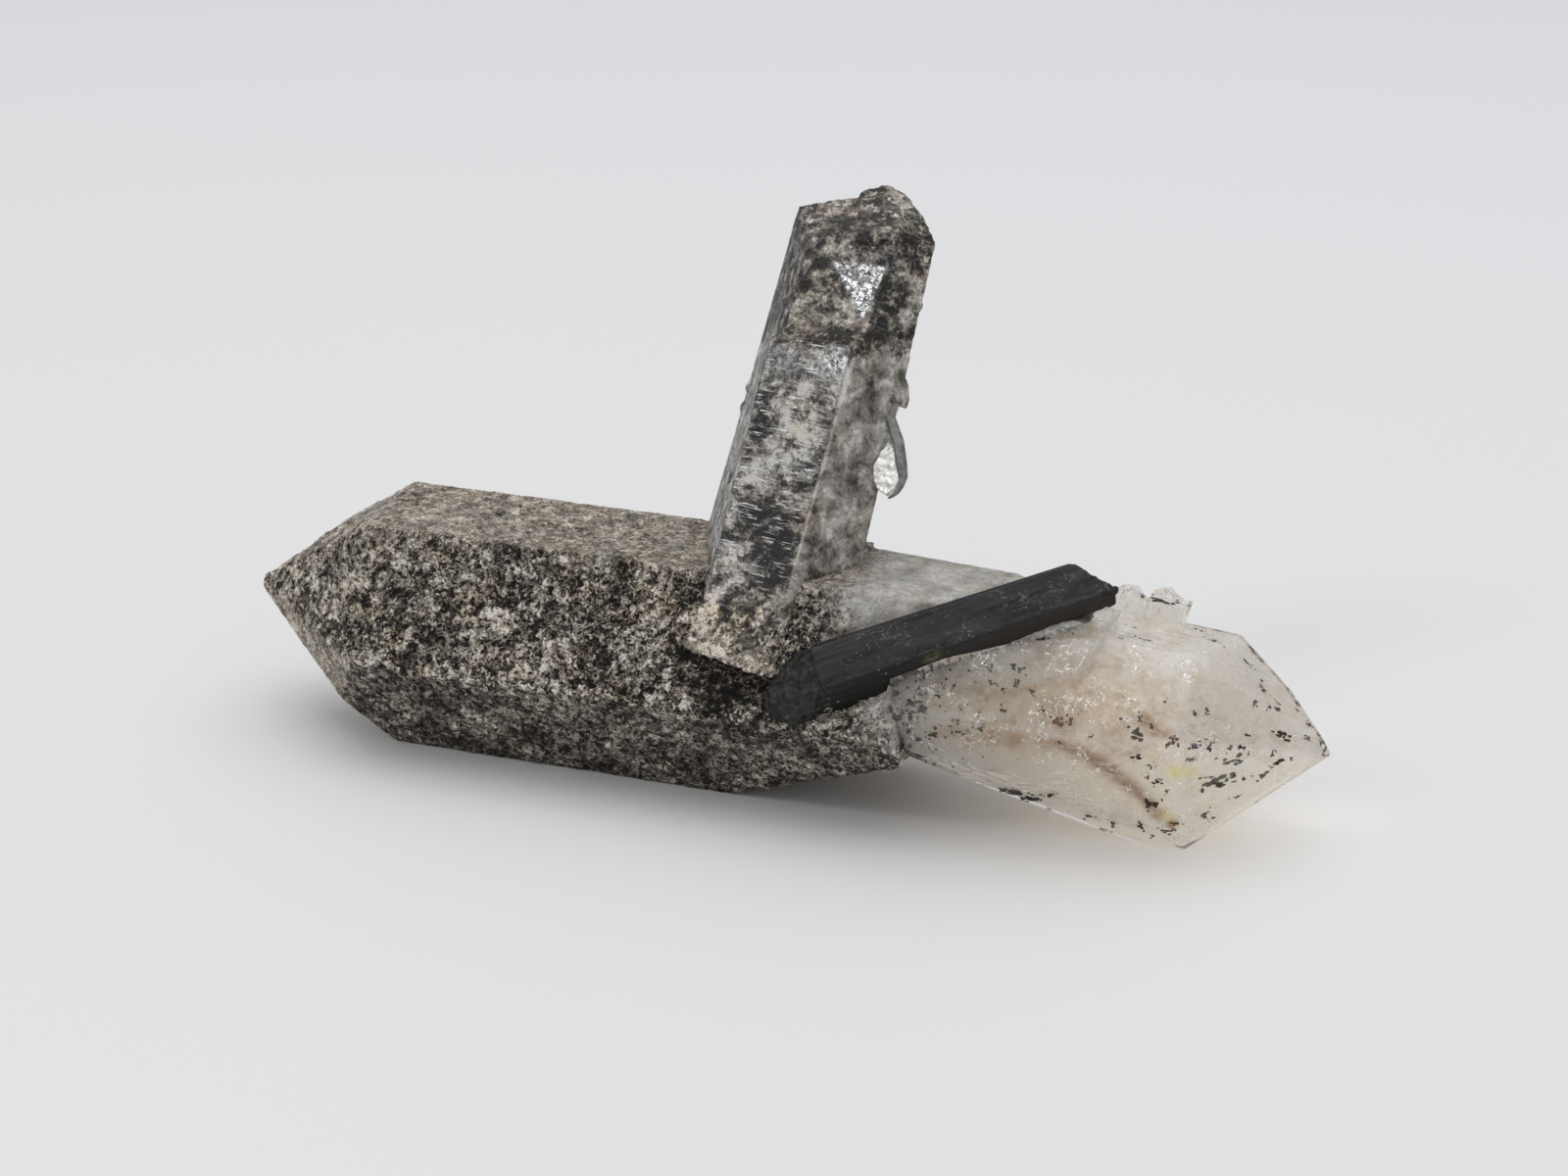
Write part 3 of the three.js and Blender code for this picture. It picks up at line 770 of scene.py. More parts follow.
def veil_material():
    """Milky veils under the clear faces: beige, white, rusty or yellow from place to place."""
    made, graph = material("Milky veils")
    here = graph.place()
    names = ("rust", "yellow", "beige", "pale", "bright", "grey", "shaded", "edge", "clear")
    rust, yellow, beige, pale, bright, grey, shaded, edge, clear = graph.numbers(*names)
    lumps = graph.noise(here, 0.50, 6.0, 0.70, 0.6)
    grit = graph.noise(graph.shifted(here, (5.0, 1.0, 2.0)), 2.2, 4.0, 0.7)
    turn = {"Vector": here, "Axis": (0.0, 1.0, 0.0), "Angle": -0.25}
    tilted = graph.add("ShaderNodeVectorRotate", turn, rotation_type="AXIS_ANGLE").outputs[0]
    fibres = graph.noise(graph.stretched(tilted, (0.30, 2.2, 2.2)), 1.2, 4.0, 0.66, 0.3)
    dust = graph.group("Pale dust", Place=tilted, Size=0.27, Amount=0.10)
    tone = graph.total(graph.times(lumps, 0.9), (grit, 0.6))
    tan = graph.mix(graph.span(tone, 0.55, 0.9), (0.54, 0.38, 0.22), (0.94, 0.80, 0.59))

    white = graph.times(pale, graph.span(fibres, 0.46, 0.54))
    shade = graph.times(pale, graph.span(fibres, 0.46, 0.40))
    dim = graph.times(grey, graph.span(grit, 0.58, 0.46))
    rusty = graph.times(rust, graph.span(fibres, 0.32, 0.48, 0.3, 1.5), clamp=True)
    curls = graph.noise(graph.shifted(here, (1.0, 9.0, 4.0)), 1.1, 3.0, 0.62, 0.4)
    patches = graph.noise(graph.shifted(here, (3.0, 7.0, 2.0)), 0.34, 3.0, 0.6)
    # Painted glints: thin white cracks and specks, made mostly metallic so that they also really reflect.
    crack = graph.span(graph.math("ABSOLUTE", graph.minus(curls, 0.5)), 0.007, 0.018, 1.0, 0.0)
    crack = graph.times(crack, graph.span(patches, 0.46, 0.54))
    painted_crack_glint = graph.math("MAXIMUM", crack, graph.times(dust["Mask"], graph.span(patches, 0.49, 0.55)))
    colour = graph.layered(
        graph.ramp(tone, MILK_TONES),
        (graph.times(beige, 0.8), tan),
        # Painted light: the lower part is made paler, standing in for light that shines through the
        # crystal.
        (bright, (1.0, 0.94, 0.84)),
        (white, WHITE),
        (graph.times(shade, 0.8), (0.26, 0.24, 0.21)),
        (dim, (0.085, 0.078, 0.066)),
        (rusty, (0.47, 0.30, 0.17)),
        # Painted light: some faces get painted shade and the edges between faces a painted white highlight.
        (graph.times(shaded, 0.7), (0.62, 0.57, 0.50)),
        (graph.times(edge, 0.35), WHITE),
        (yellow, (0.88, 0.80, 0.22)),
        (painted_crack_glint, WHITE),
    )

    alpha = graph.plus(graph.span(lumps, 0.36, 0.60, 0.50, 0.90), graph.span(grit, 0.42, 0.66, 0.0, 0.2))
    alpha = graph.total(
        alpha, (beige, 0.25), (white, 0.5), (rusty, 0.6), (yellow, 0.7), (painted_crack_glint, 0.4), (dim, 0.5),
        (bright, 0.3), (edge, 0.4),
    )
    alpha = graph.times(graph.times(alpha, 1.0, clamp=True), graph.span(clear, 0.0, 1.0, 1.0, 0.45))
    values = {
        "Base Color": colour,
        "Metallic": graph.times(painted_crack_glint, 0.9),
        "Roughness": graph.blend(painted_crack_glint, 0.5, 0.12),
        "Alpha": alpha,
        "Subsurface Weight": 1.0,
        "Subsurface Radius": (1.0, 0.88, 0.72),
        "Subsurface Scale": 7.0 * MM,
    }
    surface, end = finish_surface(graph, values, (grit, 0.7, 0.15))
    milky = graph.add("ShaderNodeBsdfTranslucent", {"Color": graph.mix(0.55, colour, WHITE)})
    share = graph.math("MAXIMUM", 0.42, graph.times(white, 0.9))
    kept = graph.math("MAXIMUM", painted_crack_glint, graph.times(rusty, 0.8))
    share = graph.times(share, graph.minus(1.0, kept), clamp=True)
    surface = graph.add("ShaderNodeMixShader", {0: share, 1: surface.outputs[0], 2: milky.outputs[0]})
    let_light_through(graph, surface, end, *THROUGH_MILK)
    return made


def clot_material():
    """Grains shut in the clear quartz: black, thin grey, brown or white, as each one's kind says."""
    made, graph = material("Shut-in grains")
    cloud = graph.noise(graph.place(), 3.0, 3.0, 0.6)
    kind, = graph.numbers("kind")
    grey, brown, white = (graph.span(kind, low, low + 1.0) for low in (0.0, 1.0, 2.0))
    colour = graph.layered(
        graph.mix(graph.span(cloud, 0.4, 0.65), (0.012, 0.006, 0.001), (0.050, 0.030, 0.010)),
        (grey, (0.060, 0.058, 0.036)), (brown, (0.13, 0.06, 0.025)), (white, (1.0, 0.97, 0.92)),
    )
    alpha = graph.minus(1.0, graph.times(graph.minus(grey, brown), 0.25))
    surface, end = finish_surface(graph, {"Base Color": colour, "Roughness": 0.7, "Alpha": alpha})
    let_light_through(graph, surface, end, *THROUGH_GRAINS)
    return made


def floor_material():
    """Pale matt table, a little darker and cooler towards the back: painted falloff of the light."""
    made, graph = material("Pale table")
    coordinates = graph.add("ShaderNodeTexCoord").outputs["Object"]
    far = graph.add("ShaderNodeSeparateXYZ", {0: coordinates}).outputs[1]
    cloud = graph.noise(coordinates, 14.0)
    # Painted falloff: the table's colour turns darker and bluer towards the back.
    colour = graph.mix(graph.span(far, -0.06, 0.3), (0.80, 0.795, 0.78), (0.745, 0.755, 0.785))
    colour = graph.mix(graph.span(cloud, 0.35, 0.65, 0.0, 0.04), colour, (0.72, 0.72, 0.72))
    finish_surface(graph, {"Base Color": colour, "Roughness": 0.6, "Specular IOR Level": 0.25})
    return made


# ---------------------------------------------------------------- the speckled crystals

# Ways out of the standing crystal's left and right face, as across and out
LEFT_FACE = (-0.868, 0.496)
RIGHT_FACE = (0.852, 0.524)
# How far out of the stone the rod's broken end stands, in millimetres
STUB_REACH = 13.75
# Height of the rod's lines, depth of its chips and of its broken end, in millimetres
ROD_LINES, ROD_CHIPS, ROD_BREAK = 0.022, 0.24, 0.22
# Back corners of the notch in front of the rod, as across, out and along, and its reach forward
ROD_NOTCH = ((1.5, -2.45, -1.3), (1.1, -1.95, 9.0), (-0.4, 0.3, -0.8), (-0.4, 0.3, 9.0))
NOTCH_REACH = 6.0
# Corners of the rod's broken left end, as across, out and along
ROD_END = (
    (-2.8, 0.0, 0.1), (0.0, 0.0, 0.0), (1.4, -2.3, -1.3), (0.9, -3.8, -3.3), (-0.4, -3.8, -4.7),
    (-1.8, -3.7, -4.7), (-2.6, -3.8, -4.0), (-3.5, -1.9, -1.6),
)
# Lighter and darker marks: where on the drawing, how far they reach in millimetres, how much lighter
STONE_MARKS = (
    (11.2, -10.3, 6.4, 0.8, -0.22), (-14.1, -10.6, 8.2, 1.6, 0.16), (-15.3, -10.0, 9.4, 1.0, 0.12),
    (-12.1, -9.4, 10.4, 1.3, 0.10), (-11.1, -7.5, 13.7, 1.2, 0.06), (-9.7, -6.6, 15.3, 2.0, -0.10),
    (-2.8, -7.1, 14.7, 1.5, -0.05), (-1.8, -9.6, 11.6, 2.0, -0.12), (-24.1, -6.9, 14.9, 1.2, 0.06),
    (-24.7, -9.7, 9.8, 2.0, -0.05), (-29.8, -7.7, 10.5, 1.6, 0.06), (-35.0, -4.4, 10.0, 1.5, 0.12),
    (-19.0, -9.4, 10.4, 1.5, 0.05), (-6.4, -10.5, 8.5, 2.0, -0.05), (-13.4, -9.3, 4.1, 1.8, -0.06),
    (-4.4, -8.4, 12.1, 1.2, 0.05), (-7.6, -9.3, 10.6, 1.4, 0.06), (-18.7, -6.6, 15.1, 1.6, -0.08),
    (1.5, -11.0, 7.1, 2.4, -0.06),
)
# Marks on the standing crystal's front: across, along, half widths, and how much lighter they are
# The light mark at across 1.1, along 25.4 is painted highlight where glints are; the darkest, at across
# 0.9, along 27.1, is painted shade under the ledge together with its dark crumbs.
FRONT_MARKS = (
    (-2.4, 20.2, 0.9, 0.9, -0.30), (-3.0, 22.5, 0.8, 0.5, -0.22), (-2.6, 24.6, 1.0, 0.8, -0.12),
    (-1.3, 24.1, 0.6, 0.5, -0.26), (1.1, 25.4, 1.2, 1.0, 0.20), (0.5, 23.4, 1.0, 0.7, 0.08),
    (-0.9, 21.7, 1.3, 0.8, 0.10), (-0.3, 19.9, 1.4, 0.8, 0.14), (1.3, 20.8, 0.7, 1.4, 0.10),
    (0.1, 18.5, 1.9, 0.5, 0.18), (0.9, 17.4, 1.6, 0.5, -0.08), (0.4, 16.7, 1.3, 0.2, -0.34),
    (-1.8, 16.1, 0.9, 0.8, -0.06), (-0.3, 14.9, 2.4, 0.6, -0.16), (-1.7, 13.4, 1.3, 0.8, -0.14),
    (1.0, 12.2, 1.1, 1.6, -0.46), (1.0, 10.4, 1.2, 1.0, -0.38), (-0.6, 14.2, 2.4, 1.6, -0.20),
    (-0.8, 11.6, 2.0, 1.6, -0.10), (-3.0, 17.6, 0.6, 1.4, -0.22), (-3.0, 21.4, 0.5, 2.6, -0.26),
    (-1.9, 11.0, 0.9, 1.0, 0.08), (2.6, 9.8, 0.6, 0.7, 0.06), (-1.4, 8.5, 0.6, 0.5, -0.12),
    (-1.8, 7.5, 0.4, 0.7, -0.28), (-3.0, 30.1, 1.0, 0.7, -0.27), (-1.4, 30.3, 0.9, 0.6, -0.14),
    (-3.0, 27.9, 1.1, 0.5, 0.26), (-0.3, 28.3, 1.6, 0.5, 0.24), (0.9, 27.1, 1.0, 0.35, -0.50),
    (-1.4, 26.9, 0.5, 0.3, -0.36), (-3.2, 26.6, 0.4, 0.4, -0.30), (1.5, 29.6, 0.5, 0.5, 0.16),
    (-1.6, 29.4, 1.2, 0.3, 0.10), (1.0, 33.4, 1.6, 0.5, 0.14), (-2.2, 26.1, 0.6, 0.3, -0.12),
    (-0.7, 34.2, 0.7, 0.2, 0.12), (-2.7, 34.3, 0.6, 0.6, -0.18), (-0.3, 35.3, 0.9, 0.4, -0.16),
)
# The same on its right face, as out and along
RIGHT_MARKS = (
    (13.0, 27.7, 0.8, 0.8, -0.30), (12.5, 30.7, 0.7, 1.2, -0.12), (11.8, 34.8, 0.7, 0.8, -0.30),
    (12.5, 29.2, 0.6, 0.5, -0.18), (12.0, 25.7, 0.6, 0.9, -0.16), (11.9, 23.7, 0.6, 0.9, -0.30),
    (13.5, 23.7, 0.7, 0.9, 0.08), (13.2, 21.0, 0.8, 1.1, 0.09), (12.8, 18.7, 0.4, 0.3, -0.22),
    (11.4, 17.7, 0.7, 0.8, -0.12), (13.7, 15.3, 0.4, 0.9, -0.32), (13.2, 13.0, 0.4, 0.9, -0.16),
    (11.3, 14.9, 1.3, 1.2, 0.05), (11.3, 12.0, 1.3, 0.7, -0.05), (12.0, 10.6, 0.9, 0.5, -0.14),
    (9.8, 12.2, 0.5, 0.5, -0.16),
)
# Corners of the facet near its top that gets painted glints, as across and along
SPARKLING = ((1.7, 28.7), (-1.3, 32.0), (2.1, 32.6))

# ---------------------------------------------------------------- the clear half

# Spacing of the small pieces' meshes, in millimetres
WALL_MESH, VEIL_MESH, CHIP_MESH, SLIVER_MESH, BRIGHT_MESH = 0.45, 0.24, 0.1, 0.08, 0.07
# How far the veils lie under the faces, in millimetres, and how far they wave in and out
VEIL_DEPTH, VEIL_WAVES = 0.36, 0.14
# Width of the frosted edges, in millimetres, and the least turn in degrees that gets one
EDGE_WIDTH, EDGE_TURN = 0.11, 18
# Millimetres that the clear half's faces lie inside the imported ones
CLEAR_INSET = 0.08
# How far back the points of the small crystals are cut, as a share of their width
BLUNTNESS = 0.3
# Width of the cloudy growth's lumps, in millimetres
CLOUD_SIZE = 2.2
# Kinds of shut-in grains, as their material reads them
DARK_KIND, GREY_KIND, BROWN_KIND, WHITE_KIND = 0, 1, 2, 3
# How many there are, white fibres for each of their veils, and where their chances start
BACK_GRAINS, SPECKS, FIBRES = 60, 520, 17
GRAIN_SEED, BACK_SEED, FIBRE_SEED = 7, 11, 13
# The white fibres run along the first of these and face the second
FIBRE_LINE = Vector((0.945, 0.214, -0.25))
FIBRE_OUT = Vector((0.1, -0.8, 0.6))
# The clear half's faces: a drawn place on each, and its way out
CLEAR_FACETS = (
    ((20.0, -1.7, 2.6), (-0.396, 0.023, -0.918)),
    ((23.0, -7.8, 5.5), (0.128, -0.930, -0.345)),
    ((22.2, 4.6, 4.9), (0.026, 0.898, -0.439)),
    ((22.7, 4.9, 9.1), (0.079, 0.932, 0.353)),
    ((17.3, 4.2, 11.1), (0.012, 0.796, 0.605)),
    ((25.0, -0.2, 13.6), (0.101, 0.144, 0.984)),
    ((26.4, -6.4, 11.8), (0.109, -0.780, 0.616)),
    ((32.5, -4.9, 5.2), (0.540, -0.789, -0.293)),
    ((32.4, -1.5, 2.2), (0.608, 0.026, -0.794)),
    ((32.6, 1.9, 4.4), (0.587, 0.694, -0.417)),
    ((32.5, -4.7, 9.9), (0.606, -0.630, 0.486)),
    ((31.9, -0.1, 12.0), (0.578, 0.031, 0.815)),
    ((34.1, -1.4, 10.4), (0.608, -0.012, 0.794)),
    ((32.0, 3.1, 9.6), (0.525, 0.814, 0.246)),
    ((34.2, 1.8, 8.0), (0.632, 0.774, 0.039)),
    ((35.2, -2.2, 9.5), (0.651, -0.231, 0.723)),
    ((23.8, -6.0, 1.5), (-0.010, -0.760, -0.650)),
)
# How shaded each of these faces looks
FACET_SHADE = (0, 0, 0, 0, 0, 0, 0, 0, 0, 0, 0.55, 0, 0.2, 0, 0.3, 0.8, 0)
# Faces of the shoulder beside the rod, in the same way
SHOULDER_FACETS = (
    ((21.6, -1.9, 15.1), (0.132, 0.061, 0.989)),
    ((19.1, -2.7, 15.4), (0.091, 0.000, 0.996)),
    ((20.6, -7.5, 13.1), (0.128, -0.780, 0.613)),
    ((22.3, -6.3, 14.0), (0.181, -0.700, 0.691)),
    ((18.6, -8.5, 11.6), (0.128, -0.959, 0.254)),
    ((23.8, -4.5, 13.9), (0.938, 0.008, -0.346)),
    ((20.3, -0.5, 14.6), (0.193, 0.960, -0.203)),
    ((19.3, -8.1, 11.2), (0.311, -0.439, -0.843)),
)
# Chip that hangs on the standing crystal's right face, as across, out and along
HANGING_CHIP = (
    (3.6, 9.8, 27.2), (4.9, 9.6, 25.6), (5.25, 9.6, 24.6), (5.1, 9.3, 24.0), (4.2, 9.4, 24.1),
    (3.4, 8.2, 25.5), (3.6, 11.0, 25.0), (4.6, 10.5, 24.3),
)
# Bent sliver below it: places down its length and its half thickness at each
BENT_SLIVER = (
    (3.6, 10.3, 24.3, 0.36), (4.5, 10.3, 23.0, 0.39), (5.5, 10.4, 21.6, 0.42), (6.15, 10.5, 20.2, 0.42),
    (6.55, 10.5, 19.3, 0.34), (6.5, 10.5, 18.6, 0.3), (6.3, 10.5, 18.1, 0.28), (5.95, 10.5, 17.75, 0.24),
)
# Outline of the small bright crystal beside it, as across and along
BRIGHT_CRYSTAL = (
    (4.85, 21.4), (4.5, 20.6), (4.25, 19.7), (4.3, 19.3), (4.65, 18.55), (5.0, 18.15), (5.7, 18.0),
    (6.25, 18.6), (6.3, 19.4), (5.85, 20.3), (5.3, 21.1),
)
# Small crystals behind the clear half's top edge: foot, tip and width
BACK_CRYSTALS = (
    ((22.8, 1.0, 11.0), (23.9, 3.6, 14.6), 3.3), ((25.3, 0.6, 10.6), (26.2, 3.4, 14.9), 2.9),
)
# Veils under the clear half's faces: drawn place, reach in millimetres and how strong they are
RUST_VEILS = (
    (15.0, -9.8, 8.0, 0.9, 0.3), (16.2, -9.7, 7.9, 1.0, 0.5), (17.8, -9.5, 8.0, 1.0, 0.6),
    (19.3, -9.2, 7.8, 0.9, 0.6), (20.9, -9.0, 7.8, 0.8, 0.5), (21.7, -8.8, 7.75, 0.7, 0.6),
    (22.5, -8.7, 7.7, 0.7, 0.8), (23.1, -8.5, 7.4, 0.7, 0.8), (23.7, -8.4, 7.2, 0.7, 0.9),
    (24.2, -8.2, 6.8, 0.7, 0.8), (24.7, -8.0, 6.5, 0.7, 0.9), (25.3, -7.8, 6.0, 0.65, 0.9),
    (25.8, -7.5, 5.5, 0.65, 0.9), (26.2, -7.3, 5.1, 0.6, 0.9), (26.6, -7.0, 4.7, 0.6, 0.9),
    (27.0, -6.8, 4.2, 0.6, 0.8), (27.4, -6.6, 3.8, 0.6, 0.8), (27.8, -6.4, 3.2, 0.55, 0.7),
    (28.2, -6.1, 2.7, 0.55, 0.8), (29.0, -5.8, 2.1, 0.5, 0.9), (27.3, -7.6, 10.4, 0.45, 0.6),
    (27.6, -7.6, 10.1, 0.5, 0.8), (28.0, -7.8, 9.8, 0.5, 0.8), (28.3, -7.9, 9.5, 0.5, 0.9),
    (28.9, -7.8, 9.4, 0.5, 0.7), (29.6, -7.0, 10.4, 0.4, 0.5), (29.5, -7.8, 9.4, 0.5, 0.8),
    (22.0, -8.6, 9.4, 0.6, 0.7), (22.9, -8.5, 9.5, 0.5, 0.4), (18.5, 4.6, 9.0, 0.9, 0.6),
    (19.9, 4.6, 8.4, 0.8, 0.7), (21.3, 4.6, 7.9, 0.8, 0.7), (22.6, 4.6, 7.2, 0.7, 0.7),
    (23.8, 4.4, 6.4, 0.7, 0.8), (24.9, 4.2, 5.4, 0.6, 0.7), (28.4, 4.2, 9.6, 0.6, 0.6),
)
YELLOW_VEILS = (
    (29.5, -7.2, 6.4, 0.6, 1.0), (30.2, -6.8, 6.4, 0.5, 1.0), (28.7, -5.9, 2.6, 0.45, 0.7),
    (27.0, 3.4, 6.0, 0.6, 0.7),
)
BEIGE_VEILS = (
    (14.5, -9.1, 10.6, 3.0, 0.9), (18.0, -8.8, 10.6, 3.2, 0.9), (14.0, -10.4, 8.6, 2.2, 0.7),
    (21.6, -7.8, 10.8, 3.2, 0.8), (25.0, -7.8, 10.2, 2.6, 1.0), (27.6, -7.4, 8.6, 2.2, 0.7),
    (19.5, -9.2, 8.4, 2.6, 0.7), (33.4, 0.6, 10.8, 0.6, 0.7), (34.5, 0.0, 10.1, 0.6, 0.8),
    (35.5, -0.5, 9.3, 0.6, 0.8), (36.5, -1.1, 8.5, 0.6, 0.9), (37.4, -1.6, 7.7, 0.6, 0.9),
    (37.5, -1.8, 6.7, 0.5, 0.8), (36.8, -2.1, 5.7, 0.5, 0.6), (35.5, -2.6, 4.7, 0.5, 0.6),
    (33.9, -3.1, 3.6, 0.5, 0.5),
)
# White veils along the lower edge, where white fibres lie too
FIBRE_VEILS = (
    (13.6, -9.2, 5.6, 0.7, 0.5), (14.9, -8.7, 5.0, 0.8, 0.8), (16.3, -8.4, 4.7, 0.9, 1.0),
    (17.6, -8.1, 4.3, 0.9, 1.0), (18.9, -7.9, 4.1, 1.0, 1.0), (20.2, -7.6, 3.7, 1.1, 1.0),
    (21.6, -7.3, 3.4, 1.1, 1.0), (22.9, -6.9, 3.0, 1.1, 1.0), (24.2, -6.6, 2.6, 1.0, 1.0),
    (25.5, -6.3, 2.2, 0.9, 0.9), (26.8, -6.0, 1.8, 0.8, 0.7), (21.9, -7.7, 4.7, 1.0, 0.6),
    (25.6, -6.6, 3.1, 0.7, 0.8),
)
WHITE_VEILS = FIBRE_VEILS + (
    (31.0, -5.6, 10.8, 0.8, 1.0), (30.6, -6.6, 9.8, 0.9, 0.9), (31.7, -6.1, 8.9, 0.7, 0.7),
    (35.0, -3.5, 8.6, 0.7, 0.7), (36.0, -2.8, 7.9, 0.8, 0.7), (34.5, -4.3, 7.4, 0.7, 0.7),
    (24.5, -2.0, 13.9, 2.4, 0.5), (27.7, -1.6, 13.5, 2.4, 0.5), (29.9, -2.3, 13.4, 1.6, 0.5),
)
GREY_VEILS = (
    (11.6, -10.6, 8.9, 0.7, 0.6), (12.4, -11.0, 8.2, 0.6, 0.7), (13.2, -10.9, 7.5, 0.7, 1.0),
    (11.9, -10.9, 6.9, 0.8, 1.0), (12.7, -10.5, 6.0, 0.7, 0.8), (11.2, -10.2, 5.6, 0.8, 1.0),
    (15.1, -6.6, 11.7, 0.5, 0.8), (15.9, -6.0, 12.2, 0.5, 0.7), (17.0, -5.6, 12.7, 0.5, 0.8),
    (18.6, -5.4, 13.5, 0.5, 0.7), (20.4, -5.8, 14.3, 0.5, 0.7), (22.2, -5.4, 15.0, 0.4, 0.5),
    (30.4, -6.4, 5.0, 0.9, 0.3), (26.6, -5.9, 1.9, 0.6, 0.4),
)
VEILS = {
    "rust": RUST_VEILS,
    "yellow": YELLOW_VEILS,
    "beige": BEIGE_VEILS,
    "pale": WHITE_VEILS,
    "grey": GREY_VEILS,
}
# Cloudy growth inside: drawn centre, radii in millimetres and seed of its lumps
CLOUDS = (
    ((17.5, -4.5, 8.8), (6.0, 3.4, 3.4), 0.0),
    ((22.0, -3.0, 7.8), (6.5, 3.4, 4.0), 3.0),
)
# Grains shut in the clear quartz: drawn place, half width, half height, and 0 dark, 1 grey or 2 brown
GRAINS = (
    (25.7, 1.8, 14.6, 0.53, 0.20, 0), (24.5, 2.6, 13.6, 0.26, 0.13, 1), (24.8, -4.1, 14.0, 0.17, 0.03, 0),
    (26.3, -3.7, 13.9, 0.40, 0.03, 0), (27.1, -7.6, 10.1, 0.13, 0.17, 0), (26.9, -8.2, 9.3, 0.46, 0.33, 0),
    (28.5, -6.6, 11.1, 0.10, 0.10, 2), (30.4, -6.3, 10.4, 0.13, 0.13, 0), (31.0, -5.7, 10.4, 0.13, 0.17, 0),
    (29.5, -8.1, 9.0, 0.33, 0.33, 2), (30.6, -7.3, 8.4, 0.26, 0.20, 0), (31.6, -6.6, 8.5, 0.13, 0.30, 0),
    (27.1, -8.0, 7.5, 0.26, 0.13, 0), (28.0, -7.6, 6.8, 0.17, 0.10, 0), (27.7, -7.4, 5.9, 0.10, 0.07, 0),
    (28.4, -7.1, 5.6, 0.17, 0.17, 0), (28.1, -7.1, 5.4, 0.17, 0.13, 1), (28.9, -6.8, 4.9, 0.10, 0.10, 2),
    (27.7, -6.5, 3.6, 0.36, 0.40, 0), (27.0, -5.9, 1.8, 0.17, 0.23, 0), (29.2, -5.8, 2.2, 0.23, 0.13, 2),
    (29.1, -5.6, 1.7, 0.17, 0.10, 2), (27.7, -5.5, 0.9, 0.10, 0.07, 0), (28.5, -5.6, 1.5, 0.33, 0.13, 1),
    (30.6, -7.0, 7.5, 0.30, 0.13, 1), (32.8, -5.3, 7.0, 0.53, 0.30, 1), (32.7, -5.8, 8.1, 0.17, 0.10, 0),
    (33.3, -5.3, 8.1, 0.26, 0.10, 0), (33.5, -4.6, 8.7, 0.20, 0.10, 0), (31.3, -5.7, 5.2, 0.53, 0.33, 1),
    (32.4, -5.1, 5.5, 0.53, 0.36, 1), (31.0, -5.0, 2.8, 0.26, 0.20, 1), (31.5, -4.5, 2.5, 0.17, 0.13, 1),
    (32.8, -4.2, 4.0, 0.17, 0.10, 1), (34.3, -3.8, 5.6, 0.40, 0.20, 1), (35.3, -3.5, 6.6, 0.40, 0.13, 0),
    (35.0, -3.9, 7.2, 0.13, 0.20, 1), (35.5, -3.1, 8.3, 0.40, 0.20, 0), (36.6, -0.9, 8.5, 0.10, 0.17, 2),
    (35.7, -0.4, 9.2, 0.10, 0.10, 0), (34.8, -2.2, 9.8, 0.20, 0.17, 0), (34.4, -2.6, 10.1, 0.10, 0.17, 1),
    (33.6, -1.4, 10.7, 0.30, 0.20, 0), (33.6, -3.2, 10.4, 0.13, 0.17, 1), (32.2, 0.1, 11.8, 0.30, 0.13, 1),
    (32.0, 2.0, 11.8, 0.10, 0.10, 0), (36.8, -2.0, 8.0, 0.17, 0.10, 1), (12.9, -9.2, 10.7, 0.10, 0.10, 0),
    (14.2, -9.4, 10.4, 0.13, 0.10, 0), (15.1, -9.0, 11.0, 0.10, 0.13, 0), (14.5, -9.1, 10.9, 0.07, 0.10, 1),
    (12.7, -9.7, 9.8, 0.40, 0.20, 0), (13.4, -9.9, 9.5, 0.17, 0.17, 0), (12.6, -10.1, 9.2, 0.23, 0.13, 0),
    (14.3, -9.3, 9.3, 0.30, 0.23, 0), (14.7, -9.5, 9.0, 0.26, 0.13, 1), (15.7, -9.1, 9.5, 0.23, 0.20, 1),
    (15.5, -9.5, 8.8, 0.33, 0.20, 0), (15.8, -9.8, 8.2, 0.26, 0.17, 1), (14.1, -10.0, 7.9, 0.33, 0.13, 1),
    (14.3, -9.9, 8.4, 0.13, 0.13, 0), (14.6, -8.4, 12.0, 0.20, 0.13, 0), (17.2, -8.2, 12.3, 0.26, 0.20, 1),
    (18.8, -8.0, 12.6, 0.17, 0.13, 0), (19.3, -8.1, 12.4, 0.23, 0.13, 1), (17.5, -8.6, 11.5, 0.20, 0.13, 1),
    (18.3, -8.6, 11.2, 0.10, 0.10, 0), (19.2, -8.4, 11.6, 0.17, 0.23, 1), (20.0, -7.8, 11.0, 0.17, 0.17, 2),
    (18.5, -8.8, 9.5, 0.30, 0.30, 0), (18.3, -9.1, 9.1, 0.26, 0.10, 1), (20.8, -8.3, 10.0, 0.17, 0.10, 0),
    (17.1, -9.5, 8.7, 0.23, 0.20, 1), (16.5, -9.4, 8.8, 0.13, 0.13, 1), (24.3, -8.8, 8.8, 0.10, 0.07, 0),
    (22.2, -9.0, 8.2, 0.13, 0.07, 2), (22.8, -8.4, 9.5, 0.20, 0.26, 2), (22.0, -8.6, 9.4, 0.26, 0.33, 2),
    (23.6, -6.5, 2.1, 0.23, 0.13, 0), (20.0, -7.3, 3.1, 0.60, 0.26, 0), (18.8, -7.7, 3.5, 0.60, 0.23, 1),
    (21.2, -7.4, 3.6, 0.26, 0.10, 0), (25.2, -6.0, 1.5, 0.13, 0.30, 1), (20.2, -6.7, 14.2, 0.26, 0.13, 1),
    (21.6, -5.7, 14.8, 0.23, 0.13, 1),
)


def drawn_places(piece):
    return (points_of(piece) - np.array(ORIGIN)) / MM


